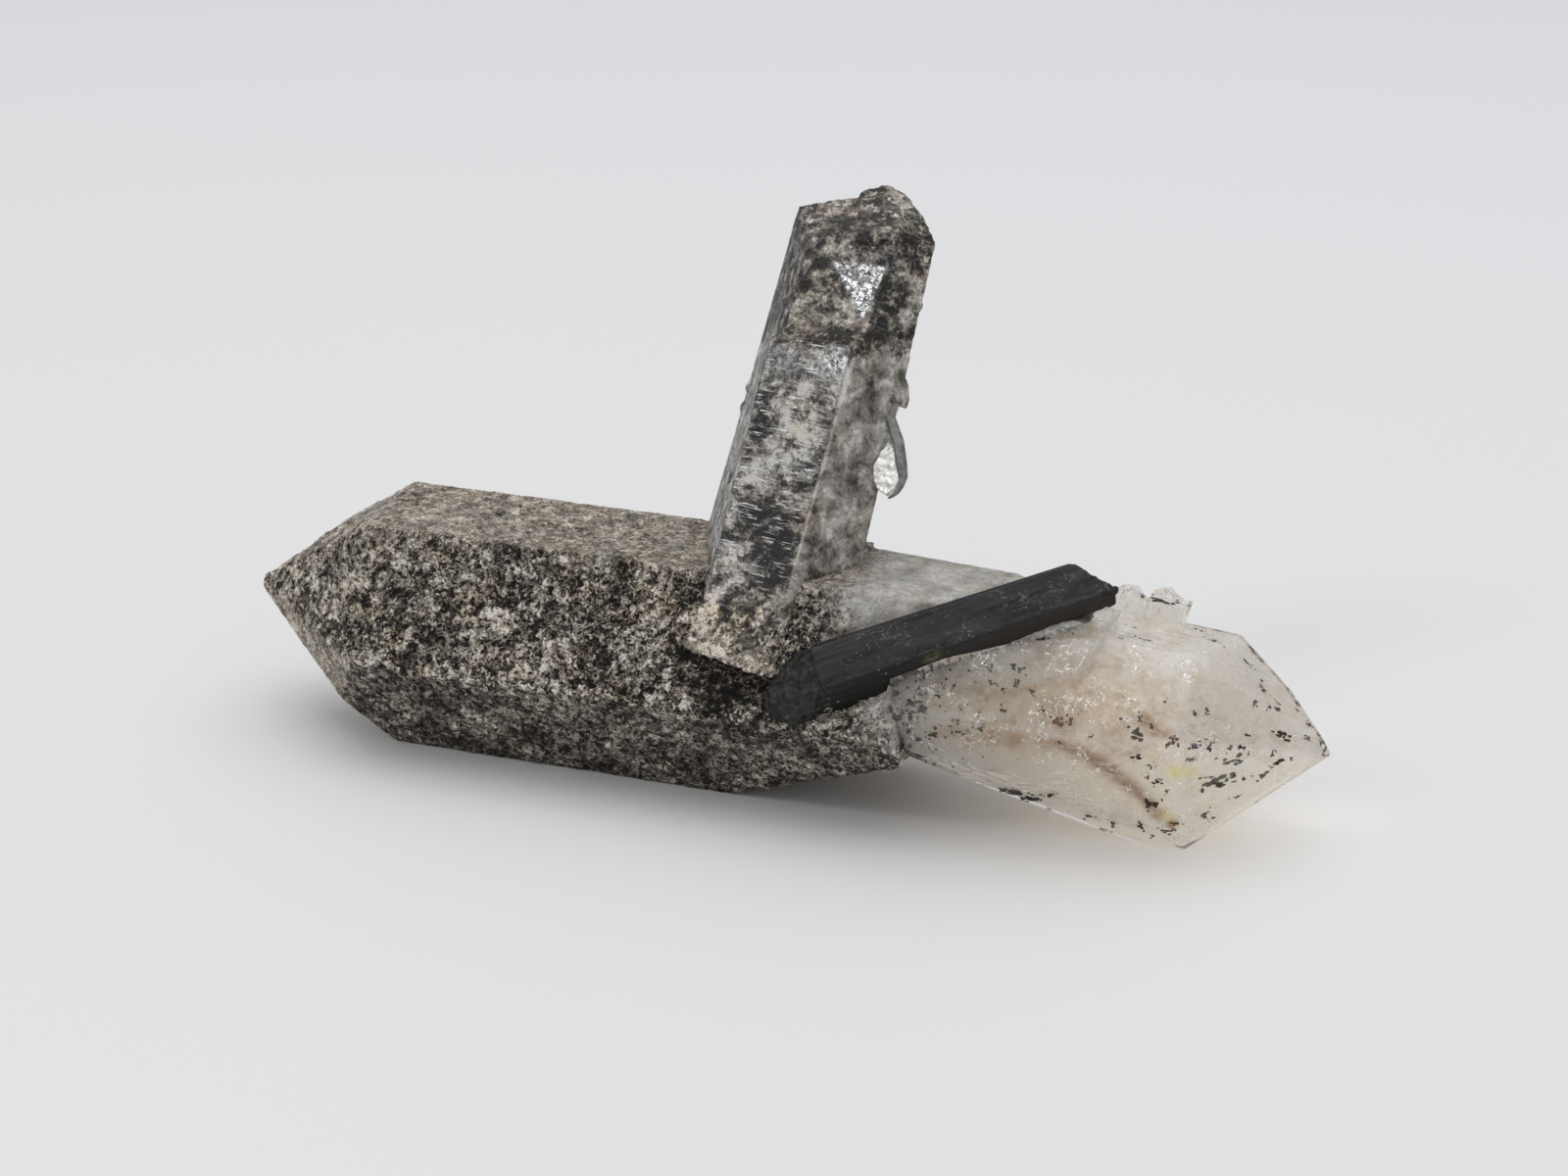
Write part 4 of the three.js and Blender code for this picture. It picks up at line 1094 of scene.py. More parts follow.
def standing_places(piece):
    return drawn_places(piece) @ np.array((ACROSS, OUT, AXIS)).T


def drifts(piece):
    """Broad and fine wandering, so that no zone ends in a straight line."""
    return wander(points_of(piece), 2.2, 3.0), wander(points_of(piece), 0.9, 9.0)


def marked(places, marks):
    """Adds up soft marks. Each row has a centre, its reach and how much lighter it is."""
    total = np.zeros(len(places))
    axes = places.shape[1]
    for row in marks:
        away = (places - np.array(row[:axes])) / np.array(row[axes:-1])
        total += row[-1] * np.exp(-(away**2).sum(axis=1))
    return total


def in_triangle(places, corners, soft):
    """One inside a triangle, falling off softly outside."""
    least = np.full(len(places), np.inf)
    middle = np.mean(corners, axis=0)
    for i in range(3):
        first, second = np.array(corners[i]), np.array(corners[(i + 1) % 3])
        inward = np.array((first[1] - second[1], second[0] - first[0]))
        inward = inward / np.linalg.norm(inward) * np.sign(inward @ (middle - first))
        least = np.minimum(least, (places - first) @ inward)
    return ease(least, -soft, 0.0)


def keep(piece, **values):
    store(piece, **{name: np.clip(numbers, -1, 1) for name, numbers in values.items()})


def pale_patch(across, along, drift, small):
    """The pale patch at the standing crystal's foot, which runs on over the long crystal."""
    return fade((across + 2.9 + 0.5 * small) / 1.1, (along - 5.9 - 0.7 * drift) / 1.5)


def stone_zones(piece):
    """Says for each point of the long crystal how light, calm, glassy and warm it is. Gives its crust."""
    places, facing = drawn_places(piece), normals_of(piece)
    x, _, z = places.T
    across, out, along = standing_places(piece).T
    drift, small = drifts(piece)
    top = ease(facing[:, 2], 0.75, 0.92)
    top = np.maximum(top, 0.7 * ease(z + 1.1 * drift + 0.8 * small, 14.2, 15.8) * (z > 12))
    lower = ease(-facing[:, 2], 0.25, 0.5) * ease(-facing[:, 1], 0.4, 0.7)
    left = ease(-facing[:, 0], 0.35, 0.55)
    strip = ease(-facing[:, 0], 0.5, 0.65) * ease(-facing[:, 2] - 0.25 * facing[:, 1], 0.05, 0.25)
    back = ease(facing[:, 1], 0.4, 0.7)
    above_rod = z - (10.0 + (x - 6.7) * 0.42)
    grey = ease(x + 0.9 * drift + 0.5 * small, 4.6, 9.4)
    grey *= np.maximum(ease(above_rod + 0.4 * small, -0.6, 0.8), back) * ease(z, 3.0, 6.0)
    fringe = ease(x + 0.7 * drift + 0.6 * small, 8.2, 11.0) * ease(-above_rod, 0.0, 1.0)
    fringe *= ease(z + small, 6.2, 8.0)
    patch = pale_patch(across, along, drift, small) * ease(out, 12.9, 13.4)
    # Painted shade: the long crystal is darkened just below the standing crystal's overhanging foot.
    under = ease(-along, -4.9, -4.2) * ease(out, 12.0, 12.8) * (across > -4.5) * (across < 3.5)
    cut = ease(x - WALL_LEAN * np.maximum(z - WALL_FOOT, 0.0), 11.2, 11.9) * (facing[:, 0] > 0.25)

    light = 0.17 * top - 0.03 * lower + 0.06 * left + 0.16 * strip
    light += marked(places + 0.5 * np.stack([small, drift, small], 1), STONE_MARKS)
    light = light * (1 - grey) + 0.12 * grey
    light += 0.10 * fringe + 0.40 * patch - 0.30 * under * ease(along, 1.0, 2.5) + 0.14 * cut
    calm = 0.70 * top + 0.35 * lower + 0.12 * left + 0.5 * strip
    calm = calm * (1 - grey) + 0.85 * grey
    glassy = np.maximum(grey, 0.7 * fringe)
    keep(piece, light=light, calm=calm, glassy=glassy, warm=0.05 * top - 0.35 * lower)
    return (1.0 - 0.85 * np.clip(calm, 0, 1)) * (1.0 - 0.6 * glassy)


def standing_zones(piece):
    """The same for the standing crystal, with its glossy front and the painted glints of its sparkling
    facets.
    """
    own = standing_places(piece)
    across, out, along = own.T
    facing = normals_of(piece) @ np.array((ACROSS, OUT, AXIS)).T
    drift, small = drifts(piece)
    front = ease(facing[:, 1], 0.8, 0.93)
    left_face, right_face = (
        ease(facing[:, 0] * turn[0] + facing[:, 1] * turn[1], 0.8, 0.93) for turn in (LEFT_FACE, RIGHT_FACE)
    )
    forward = ease(out, 12.0, 13.0) * ease(facing[:, 1], -0.2, 0.4)
    crown = ease(along + 0.5 * small, 33.0, 34.5)
    upper = ease(along, 26.5, 27.5)
    low = ease(-along + 0.8 * small, -10.0, -7.5)
    ledge = forward * fade((along - 26.9 + 0.2 * small) / 0.8)
    rough_corner = front * fade((across + 2.2) / 1.4, (along - 25.0) / 1.3)
    triangle = in_triangle(own[:, [0, 2]] + 0.06 * small[:, None], SPARKLING, 0.12) * (out > 11.6)
    # Painted highlight: a thin light line along the front face's right edge.
    edge = fade((across - 2.13) / 0.08) * (out > 13.6) * ease(along, 11.0, 12.5) * (1 - upper)
    rim = forward * fade((along - 4.5 + 0.3 * small) / 0.45)
    # Painted highlight: where bright glints lie on the front face's upper right.
    bright = front * fade((across - 1.2) / 1.1, (along - 25.3) / 1.1)
    patch = forward * pale_patch(across, along, drift, small)
    # Dark band under the ledge: painted shade under the ledge, together with dark crumbs there.
    ledge_shade_and_crumbs = forward * fade((along - 26.3) / 0.45, (across - 0.6) / 1.6)
    dim = front * fade((along - 11.5) / 2.6, (across - 0.6) / 2.2)
    cool = front * fade((along - 18.4) / 1.0, (across - 0.8) / 2.0)

    shaken = own + 0.35 * np.stack([small, small, drift], 1)
    light = -0.02 * left_face + 0.03 * right_face * (1 - upper) - 0.18 * upper + 0.02 * crown - 0.02 * low
    front_marks = front * marked(shaken[:, [0, 2]], FRONT_MARKS)
    light += front_marks + right_face * marked(shaken[:, [1, 2]], RIGHT_MARKS)
    light += 0.26 * edge + 0.16 * rim + 0.50 * patch - 0.10 * ledge - 0.22 * ledge_shade_and_crumbs - 0.07 * dim
    calm = 0.22 + 0.30 * left_face + 0.62 * right_face * (1 - upper) - 0.15 * crown
    crusty = np.maximum.reduce([0.95 * low, 0.55 * crown, 0.9 * ledge, 0.7 * rough_corner])
    gloss = 0.08 + 0.92 * front * (1 - upper) * (1 - low) * (1 - 0.5 * ease(-along, -13.5, -11.5))
    warm = 0.12 * right_face + 0.45 * ledge - 0.35 * left_face + 0.15 * low + 0.18 * upper
    warm += 0.12 * front - 0.5 * cool
    # Where glints are painted: the facet near the top, the bright spot and the rough corner.
    sparkle = np.maximum.reduce([triangle, 1.1 * bright, 0.5 * rough_corner])
    keep(
        piece, light=light, calm=calm, crusty=crusty, gloss=gloss, warm=warm,
        fibre=left_face, sparkle=sparkle,
    )
    store_place(piece, own)
    return np.maximum(0.9 * np.clip(crusty, 0, 1), 0.25 * (1 - np.clip(calm, 0, 1)))


def crust(piece, spacing, zones):
    """Remeshes a cut copy finely and raises its grains, as high as its zones say."""
    grain, height = sizes().grain, sizes().relief
    remesh(piece, spacing)
    share = zones(piece)
    before, outward = points_of(piece), normals_of(piece)
    coarse = weigh(piece, "coarse", share)
    relief(piece, "VORONOI", grain, -height, coarse, 0.4)
    relief(piece, "CLOUDS", grain * 0.6, height * 0.9, coarse)
    relief(piece, "CLOUDS", 2.4, 0.16, coarse)
    after = points_of(piece)
    raised = ((after - before) * outward).sum(axis=1) / MM
    store(piece, relief=np.clip(raised / height, -1, 1))
    resting = before[:, 2] < 0.02 * MM
    after[resting] = before[resting]
    after[:, 2] = np.maximum(after[:, 2], 0.0)
    move_points(piece, after)
    piece.vertex_groups.clear()
    smooth(piece)


def long_body(name, inset):
    """The long crystal's plain six-sided body where the standing crystal grows out of it."""
    section = ((-6.3, 15.6), (-11.2, 7.4), (-7.0, 0.0), (2.4, 0.0), (7.1, 8.2), (2.9, 15.6))
    middle = np.mean(section, axis=0)
    points = []
    for corner in np.array(section):
        away = corner - middle
        y, z = corner - away / np.linalg.norm(away) * inset * CORNER_SHARE
        points += [drawn(-9.0, y, z), drawn(11.0, y, z)]
    return hull(name, points)


def rod_directions():
    """Where the rod starts, and its directions: across its broad face, out of it and along it."""
    start, end = drawn(6.7, -11.2, 10.4), drawn(24.9, -6.0, 18.0)
    along = (end - start).normalized()
    across = along.cross(OUT).normalized()
    return start, across, across.cross(along), along


def on_rod(across, out, along):
    """A point given in the rod's own millimetres."""
    start, *axes = rod_directions()
    return start + (axes[0] * across + axes[1] * out + axes[2] * along) * MM


def rod_stub(name):
    """The rod's broken left end, drawn forward until it stands clear of the stone."""
    corners = [on_rod(-1.0, -1.0, 2.0), on_rod(-1.0, -3.0, 2.0)]
    for corner in ROD_END:
        place = on_rod(*corner)
        depth = (place - ORIGIN).dot(OUT) / MM
        corners += [place, place + FORWARD * max(0.0, STUB_REACH - depth) * 1.07 * MM]
    return hull(name, corners)


def rod_notch(name):
    """The notch in the stone in front of the rod's front face."""
    corners = [on_rod(*corner) for corner in ROD_NOTCH]
    return hull(name, corners + [corner + FORWARD * NOTCH_REACH * MM for corner in corners])


def fill_bed(piece):
    """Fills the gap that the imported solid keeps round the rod, so that the rod grows out of the stone."""
    filler = grown_rod("filler", 0.4)
    trim(filler, on_standing(0, 13.2, 0), OUT)
    trim(filler, drawn(0, 0, 15.5), (0, 0, 1))
    trim(filler, drawn(0, -11.1, 7.4), (0, -0.87, -0.494))
    carve(piece, filler, "UNION")


def clear_space(name, left):
    """The space of the clear half, behind a lumpy wall."""
    space = block(name, (left - 0.5, -16, -4), (45, 18, 24))
    trim_wall(space, left, WALL_FOOT)
    remesh(space, WALL_MESH)
    relief(space, "CLOUDS", 2.2, 1.1, detail=3)
    return space


def standing_space(name, grow, low=3.6):
    """The space of the standing crystal: its six-sided section, grown, and drawn out along its axis."""
    section = np.array(((-3.3, 14.1), (2.15, 14.1), (5.1, 9.3), (1.8, 3.6), (-5.0, 3.6), (-7.3, 7.1)))
    away = section - section.mean(axis=0)
    section = section + away / np.linalg.norm(away, axis=1)[:, None] * grow * CORNER_SHARE
    return prism(name, section, low, 40.0)


def sliver_space(name):
    """The space off the standing crystal's right face, where small slivers hang."""
    section = ((5.13, 9.32), (2.18, 14.12), (9.0, 14.1), (9.0, 7.0))
    return prism(name, section, 16.5, 28.3)


def small_crystal(name, foot, tip, width):
    """A six-sided crystal with a blunt point at its far end."""
    along = tip - foot
    length = along.length / MM
    along.normalize()
    across = Vector((0, 0, 1)).cross(along).normalized()
    out = along.cross(across)
    points = []
    for side in range(6):
        turn = math.radians(60 * side + 30)
        radius = width / 2 * (1.0 if side % 2 else 0.86)
        cut = length - width * BLUNTNESS * (0.5 if side % 2 else 0.7)
        edge = across * radius * math.cos(turn) + out * radius * math.sin(turn)
        points += [foot + edge * MM, foot + (edge + along * cut) * MM]
    points.append(foot + (across * 0.08 * width + along * length) * MM)
    return hull(name, points)


def clear_body(name, gap):
    """The clear half, cut from two blocks, with its small crystals and a bed a gap wider than the rod."""
    body = block(name, (10.5, -13, 0), (40, 10, 17))
    for point, normal in CLEAR_FACETS:
        trim(body, drawn(*point), normal, CLEAR_INSET)
    shoulder = block("shoulder", (11.0, -13, 5), (30, 4, 17))
    for point, normal in SHOULDER_FACETS:
        trim(shoulder, drawn(*point), normal, CLEAR_INSET)
    carve(body, shoulder, "UNION")
    for foot, tip, width in BACK_CRYSTALS:
        carve(body, small_crystal("small", drawn(*foot), drawn(*tip), width), "UNION")
    trim_wall(body, 10.8, WALL_FOOT + 0.3)
    return carve(body, grown_rod("bed", gap))


def lump(name, centre, radii, seed):
    """A lumpy closed blob round a point, with its radii in millimetres."""
    bpy.ops.object.select_all(action="DESELECT")
    bpy.ops.mesh.primitive_ico_sphere_add(subdivisions=5, radius=1.0)
    piece = named(name)
    points = points_of(piece)
    swell = 1.0 + 0.5 * noise_at(points, 1.7, (seed, 0, -seed))
    move_points(piece, points * swell[:, None] * np.array(radii) * MM + np.array(centre))
    return piece


def facet_marks(places):
    """Right of the shoulder: how near each place is to an edge, and how shaded its face is."""
    away = np.stack([(places - np.array(point)) @ np.array(normal) for point, normal in CLEAR_FACETS], 1)
    order = np.argsort(-away, axis=1)
    rows = np.arange(len(places))
    between = away[rows, order[:, 0]] - away[rows, order[:, 1]]
    right = ease(places[:, 0], 25.5, 28.0)
    return right * fade(between / 0.2), right * np.array(FACET_SHADE)[order[:, 0]]


def nearest_facet(place):
    """The way out of the clear half's face that a drawn place lies on."""
    facets = [
        (Vector(point), Vector(normal).normalized()) for point, normal in CLEAR_FACETS + SHOULDER_FACETS
    ]
    return min(facets, key=lambda facet: abs(facet[1].dot(Vector(place) - facet[0])))[1]


class Flakes:
    """Gathers many small ragged balls into one mesh. Each has a kind, for the material to read."""

    def __init__(self):
        bpy.ops.object.select_all(action="DESELECT")
        bpy.ops.mesh.primitive_ico_sphere_add(subdivisions=1, radius=1.0)
        flake = named("flake")
        self.ball = points_of(flake)
        self.sides = np.array([tuple(face.vertices) for face in flake.data.polygons])
        bpy.data.objects.remove(flake)
        self.points, self.kinds = [], []

    def ragged(self, chance):
        """The ball with each point pulled in or pushed out."""
        return self.ball * chance.uniform(0.5, 1.3, len(self.ball))[:, None]

    def put(self, points, kind):
        self.points.append(points)
        self.kinds += [float(kind)] * len(self.ball)

    def piece(self, name):
        faces = np.concatenate([self.sides + i * len(self.ball) for i in range(len(self.points))])
        mesh = bpy.data.meshes.new(name)
        mesh.from_pydata(np.concatenate(self.points).tolist(), [], faces.tolist())
        piece = added(name, mesh)
        store(piece, kind=self.kinds)
        return piece


def put_clusters(flakes, chance, grains):
    """Each grain is a cluster of flakes on the face that it lies under, with a few strays round it."""
    for *place, wide, tall, kind in grains:
        out = nearest_facet(place)
        side = (Vector((1, 0, 0)) - out * out.x).normalized()
        axes = np.array((side, out, out.cross(side)))
        deep = 0.17 if kind == GREY_KIND else 0.11
        count = 6 + round(14 * max(wide, tall))
        for i in range(count):
            reach = 1.1 if i < 0.7 * count else 2.4
            spot = chance.uniform(-reach, reach, 3) * (wide, 0.1, tall) * (i > 0) - (0, deep, 0)
            radii = chance.uniform(0.2, 0.65, 3) * (wide, 0.0, tall) / (reach ** 0.5) + (0.03, 0.07, 0.03)
            flake = flakes.ragged(chance) * radii
            flakes.put(((flake + spot) @ axes + np.array(place)) * MM + np.array(ORIGIN), kind)


def back_grains(around, outward, drawing):
    """Grains like the others for the clear half's back, placed at random."""
    chance = np.random.default_rng(BACK_SEED)
    behind = (outward[:, 1] > 0.2) * (drawing[:, 0] > 13.5) + 1e-9
    grains = []
    for i in chance.choice(len(around), BACK_GRAINS, replace=False, p=behind / behind.sum()):
        place = (around[i] + outward[i] * 0.25 * MM - np.array(ORIGIN)) / MM
        wide, tall = chance.uniform(0.12, 0.42), chance.uniform(0.08, 0.22)
        kinds = (DARK_KIND, DARK_KIND, GREY_KIND, BROWN_KIND)
        grains.append((*place, wide, tall, kinds[chance.integers(4)]))
    return tuple(grains)


def put_specks(flakes, chance, around, outward, x):
    """Fine specks, close together where the clear half begins and fewer further in."""
    odds = np.exp(-np.maximum(x - 11.6, 0.0) / 1.7) * (outward[:, 1] < 0.35) * (outward[:, 2] < 0.8) + 1e-9
    for i in chance.choice(len(x), SPECKS, replace=False, p=odds / odds.sum()):
        size = chance.uniform(0.08, 0.30) * (1.0 if x[i] < 13.5 else 0.6)
        flake = flakes.ragged(chance) * chance.uniform(0.4, 1.2, 3) * size
        flakes.put(flake * MM + around[i] + outward[i] * 0.1 * MM, chance.uniform() < 0.35)


def put_fibres(flakes, around, outward, drawing):
    """White fibres along the clear half's lower edge."""
    chance = np.random.default_rng(FIBRE_SEED)
    for *centre, reach, strength in FIBRE_VEILS:
        near = ((drawing - np.array(centre)) ** 2).sum(axis=1) < reach**2
        for i in chance.choice(np.flatnonzero(near * (outward[:, 1] < 0)), FIBRES):
            side = (FIBRE_LINE + Vector(chance.normal(0.0, 0.10, 3))).normalized()
            out = (FIBRE_OUT - side * FIBRE_OUT.dot(side)).normalized()
            radii = chance.uniform((0.25, 0.03, 0.04), (1.0, 0.05, 0.15)) * strength
            flake = flakes.ragged(chance) * radii @ np.array((side, out, out.cross(side)))
            flakes.put(flake * MM + around[i] + outward[i] * 0.16 * MM, WHITE_KIND)


def sliver_ring(across, out, along, thick):
    """Six corners round a place on the bent sliver."""
    corners = []
    for turn in range(6):
        angle = math.radians(60 * turn)
        side = thick * math.cos(angle) * 0.9
        corners.append(on_standing(across + side, out + thick * math.sin(angle), along + side / 2))
    return corners


# ---------------------------------------------------------------- settings


class SpecimenSizes(bpy.types.PropertyGroup):
    grain: bpy.props.FloatProperty(
        name="Grain size", description="Width of one crust grain, in millimetres",
        default=0.6, min=0.2, max=2.0,
    )
    relief: bpy.props.FloatProperty(
        name="Grain relief", description="Height of the crust's grains, in millimetres",
        default=0.26, min=0.0, max=1.0,
    )
    long_voxel: bpy.props.FloatProperty(
        name="Long crystal detail", description="Mesh spacing on the long crystal, in millimetres",
        default=0.206, min=0.1, max=1.0,
    )
    standing_voxel: bpy.props.FloatProperty(
        name="Standing crystal detail", description="Mesh spacing on the standing crystal, in millimetres",
        default=0.152, min=0.1, max=1.0,
    )
    rod_voxel: bpy.props.FloatProperty(
        name="Rod detail", description="Mesh spacing on the rod, in millimetres",
        default=0.1, min=0.1, max=1.0,
    )


class SpecimenLooks(bpy.types.PropertyGroup):
    lens: bpy.props.FloatProperty(
        name="Focal length", description="Camera lens for the matching view",
        default=85.0, min=20.0, max=300.0, unit="CAMERA",
    )
    daylight: bpy.props.FloatProperty(
        name="Room light", description="Strength of the light that comes from all round",
        default=0.6, min=0.0, max=5.0,
    )
    lamp: bpy.props.FloatProperty(
        name="Overhead light", description="Power of the soft light above",
        default=1.55, min=0.0, max=50.0, subtype="POWER",
    )


def sizes():
    return bpy.context.scene.specimen_sizes


def looks():
    return bpy.context.scene.specimen_looks


# ---------------------------------------------------------------- operators


class SPECIMEN_OT_long_crystal(bpy.types.Operator):
    """Long crystal: the speckled half, with its crust of grains"""

    bl_idname = "specimen.long_crystal"
    bl_label = "Speckled long crystal"

    def execute(self, context):
        piece = solid_copy("quartz_crystals", "speckled_long_crystal")
        carve(piece, sliver_space("sliver_space"))
        fill_bed(piece)
        carve(piece, standing_space("standing_space", 1.0, 4.2))
        body = carve(long_body("body", 0.02), standing_space("standing_space", 1.1, 4.0), "INTERSECT")
        carve(piece, body, "UNION")
        carve(piece, rod_notch("notch"))
        carve(piece, clear_space("clear_space", 11.8))
        crust(piece, sizes().long_voxel, stone_zones)
        paint(piece, speckled_material())
        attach(piece, "root")
        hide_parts("quartz_crystals")
        return {"FINISHED"}


class SPECIMEN_OT_standing_crystal(bpy.types.Operator):
    """Standing crystal: mottled, with growth lines across its front face"""

    bl_idname = "specimen.standing_crystal"
    bl_label = "Standing crystal"

    def execute(self, context):
        piece = solid_copy("quartz_crystals", "standing_crystal")
        carve(piece, sliver_space("sliver_space"))
        carve(piece, standing_space("standing_space", 0.9), "INTERSECT")
        carve(piece, long_body("core", 0.6))
        carve(piece, carve(long_body("body", -0.2), standing_space("inside", -0.1)))
        crust(piece, sizes().standing_voxel, standing_zones)
        paint(piece, mottled_material())
        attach(piece, "root")
        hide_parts("quartz_crystals")
        return {"FINISHED"}


class SPECIMEN_OT_clear_quartz(bpy.types.Operator):
    """Clear half: flat faces with narrow frosted edges, cut from two blocks"""

    bl_idname = "specimen.clear_quartz"
    bl_label = "Clear half"

    def execute(self, context):
        piece = clear_body("clear_quartz", 0.06)
        clear = glass("Clear quartz", ((0.95, 0.93, 0.90), (0.99, 0.98, 0.97)), (0.0, 0.06), 0.97, 0.16)
        frosted = glass("Frosted edges", ((0.90, 0.88, 0.84), WHITE), (0.3, 0.5), 0.35, 1.0)
        paint(piece, clear, frosted)
        apply_modifier(
            piece, "BEVEL", width=EDGE_WIDTH * MM, segments=2, limit_method="ANGLE",
            angle_limit=math.radians(EDGE_TURN), material=1,
        )
        smooth(piece, 12)
        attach(piece, "root")
        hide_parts("quartz_crystals")
        return {"FINISHED"}


class SPECIMEN_OT_clouds(bpy.types.Operator):
    """Cloudy growth deep inside the clear half"""

    bl_idname = "specimen.clouds"
    bl_label = "Clouds"

    def execute(self, context):
        lumps = [lump("cloud", drawn(*centre), radii, seed) for centre, radii, seed in CLOUDS]
        piece = join(lumps, "beige_cloud")
        smooth(piece)
        paint(piece, cloud_material())
        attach(piece, "root")
        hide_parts("quartz_crystals")
        return {"FINISHED"}


class SPECIMEN_OT_veils(bpy.types.Operator):
    """Thin milky veils that follow the clear half's faces, just under them"""

    bl_idname = "specimen.veils"
    bl_label = "Veils"

    def execute(self, context):
        piece = clear_body("milky_veils", -0.35)
        remesh(piece, VEIL_MESH)
        drawing = drawn_places(piece)
        apply_modifier(piece, "SMOOTH", factor=0.5, iterations=8)
        points, outward = points_of(piece), normals_of(piece)
        lumps = wander(points, 1.1, 2.0) + 0.5 * wander(points, 0.45, 5.0)
        points = points - outward * (VEIL_DEPTH + VEIL_WAVES * np.clip(lumps, -1, 1))[:, None] * MM
        move_points(piece, points)
        bent = drawing + 0.22 * np.stack([wander(points, 0.7, seed) for seed in (11.0, 12.0, 13.0)], 1)
        for name, veils in VEILS.items():
            cover = np.zeros(len(points))
            for *centre, reach, strength in veils:
                away = ((bent - np.array(centre)) ** 2).sum(axis=1) / reach**2
                cover = np.maximum(cover, strength * np.exp(-away))
            store(piece, **{name: cover})
        # The clear half's facet edges get a painted highlight and some of its faces painted shade.
        edge, shaded = facet_marks(drawing)
        x, _, z = bent.T
        clear = np.maximum(ease(x, 28.5, 33.0) * ease(z, 7.0, 10.5), 0.6 * ease(x, 33.0, 36.0))
        # bright paints the lower part paler, standing in for light that shines through the crystal.
        store(piece, edge=edge, shaded=shaded, bright=0.8 * ease(-z, -7.6, -6.0), clear=clear)
        smooth(piece)
        paint(piece, veil_material())
        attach(piece, "root")
        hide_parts("quartz_crystals")
        return {"FINISHED"}


class SPECIMEN_OT_grains(bpy.types.Operator):
    """Clusters of dark, grey and brown flakes, fine specks and white fibres, shut in the clear half"""

    bl_idname = "specimen.grains"
    bl_label = "Shut-in grains"

    def execute(self, context):
        skin = bpy.data.objects["milky_veils"]
        around, outward, drawing = points_of(skin), normals_of(skin), drawn_places(skin)
        flakes, chance = Flakes(), np.random.default_rng(GRAIN_SEED)
        put_clusters(flakes, chance, GRAINS + back_grains(around, outward, drawing))
        put_specks(flakes, chance, around, outward, drawing[:, 0])
        put_fibres(flakes, around, outward, drawing)
        piece = flakes.piece("shut_in_grains")
        paint(piece, clot_material())
        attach(piece, "root")
        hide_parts("quartz_crystals")
        return {"FINISHED"}


class SPECIMEN_OT_side_crystals(bpy.types.Operator):
    """Chip, bent sliver and small bright crystal on the standing crystal's right side"""

    bl_idname = "specimen.side_crystals"
    bl_label = "Side crystals"

    def execute(self, context):
        chip = hull("hanging_chip", [on_standing(*corner) for corner in HANGING_CHIP])
        remesh(chip, CHIP_MESH)
        standing_zones(chip)
        paint(chip, mottled_material())

        rings = [sliver_ring(*row) for row in BENT_SLIVER]
        sliver, *links = [hull("bent_sliver", first + second) for first, second in zip(rings, rings[1:])]
        for link in links:
            carve(sliver, link, "UNION")
        remesh(sliver, SLIVER_MESH)
        smooth(sliver)
        paint(sliver, sliver_material())

        outline = [(across, out, along) for across, along in BRIGHT_CRYSTAL for out in (9.6, 10.5)]
        bright = hull("side_crystal", [on_standing(*corner) for corner in outline])
        remesh(bright, BRIGHT_MESH)
        relief(bright, "VORONOI", 0.8, -0.16, middle=0.4)
        relief(bright, "CLOUDS", 0.4, 0.2)
        smooth(bright, 30)
        paint(bright, bright_material())
        for piece in (chip, sliver, bright):
            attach(piece, "root")
            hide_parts("quartz_crystals")
        return {"FINISHED"}


class SPECIMEN_OT_rod(bpy.types.Operator):
    """Black rod with lines along it, chipped at its ends"""

    bl_idname = "specimen.rod"
    bl_label = "Black rod"

    def execute(self, context):
        piece = solid_copy("black_tourmaline_rod", "black_rod")
        carve(piece, rod_stub("stub"), "UNION")
        remesh(piece, sizes().rod_voxel)
        start, *axes = rod_directions()
        points, outward = points_of(piece), normals_of(piece)
        local = (points - np.array(start)) / MM
        own = np.stack([local @ np.array(axis) for axis in axes], 1)
        across, out, along = own.T
        facing = outward @ np.array(axes).T
        rows = own * np.array([2.6, 2.6, 0.08])
        lines = noise_at(rows) + 0.6 * noise_at(rows, 2.3)
        chips = noise_at(own, 1.1) + 0.7 * noise_at(own, 2.7)
        broken = ease(-along, -0.3, 0.0)
        ends = np.maximum(broken, ease(along, 18.2, 19.6))
        edge = np.exp(-((across**2 + out**2) / 0.16)) + 0.7 * ease(-out, 2.9, 3.6)
        crumbled = np.maximum(edge * noise_at(own, 2.6), 0)
        height = ROD_LINES * (1 - broken) * lines + ends * ROD_CHIPS * chips
        height = height - ROD_CHIPS * crumbled - ROD_BREAK * broken
        points = points + outward * height[:, None] * MM
        points[:, 2] = np.maximum(points[:, 2], 0)
        move_points(piece, points)
        below = np.maximum(ease(facing[:, 0], 0.5, 0.8), ease(-facing[:, 1], 0.2, 0.6))
        store(
            piece,
            relief=np.clip(lines, -1, 1),
            broad=ease(facing[:, 1], 0.6, 0.9) * (1 - broken),
            broken=broken,
            warm=0.8 * below * ease(along, 7.0, 10.0),
            spot=fade((across - 0.1) / 0.35, (out + 0.4) / 0.35, (along - 7.6) / 0.6),
        )
        store_place(piece, own)
        smooth(piece)
        paint(piece, rod_material())
        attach(piece, "root")
        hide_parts("black_tourmaline_rod")
        return {"FINISHED"}


TABLE_SIZE = 3.0
# From the specimen towards the camera of the matching view, how far, and the height that it aims at
CAMERA_SIDE = Vector((0.33457, -0.87157, 0.35837))
CAMERA_DISTANCE = 0.2501
AIM_HEIGHT = 12.5


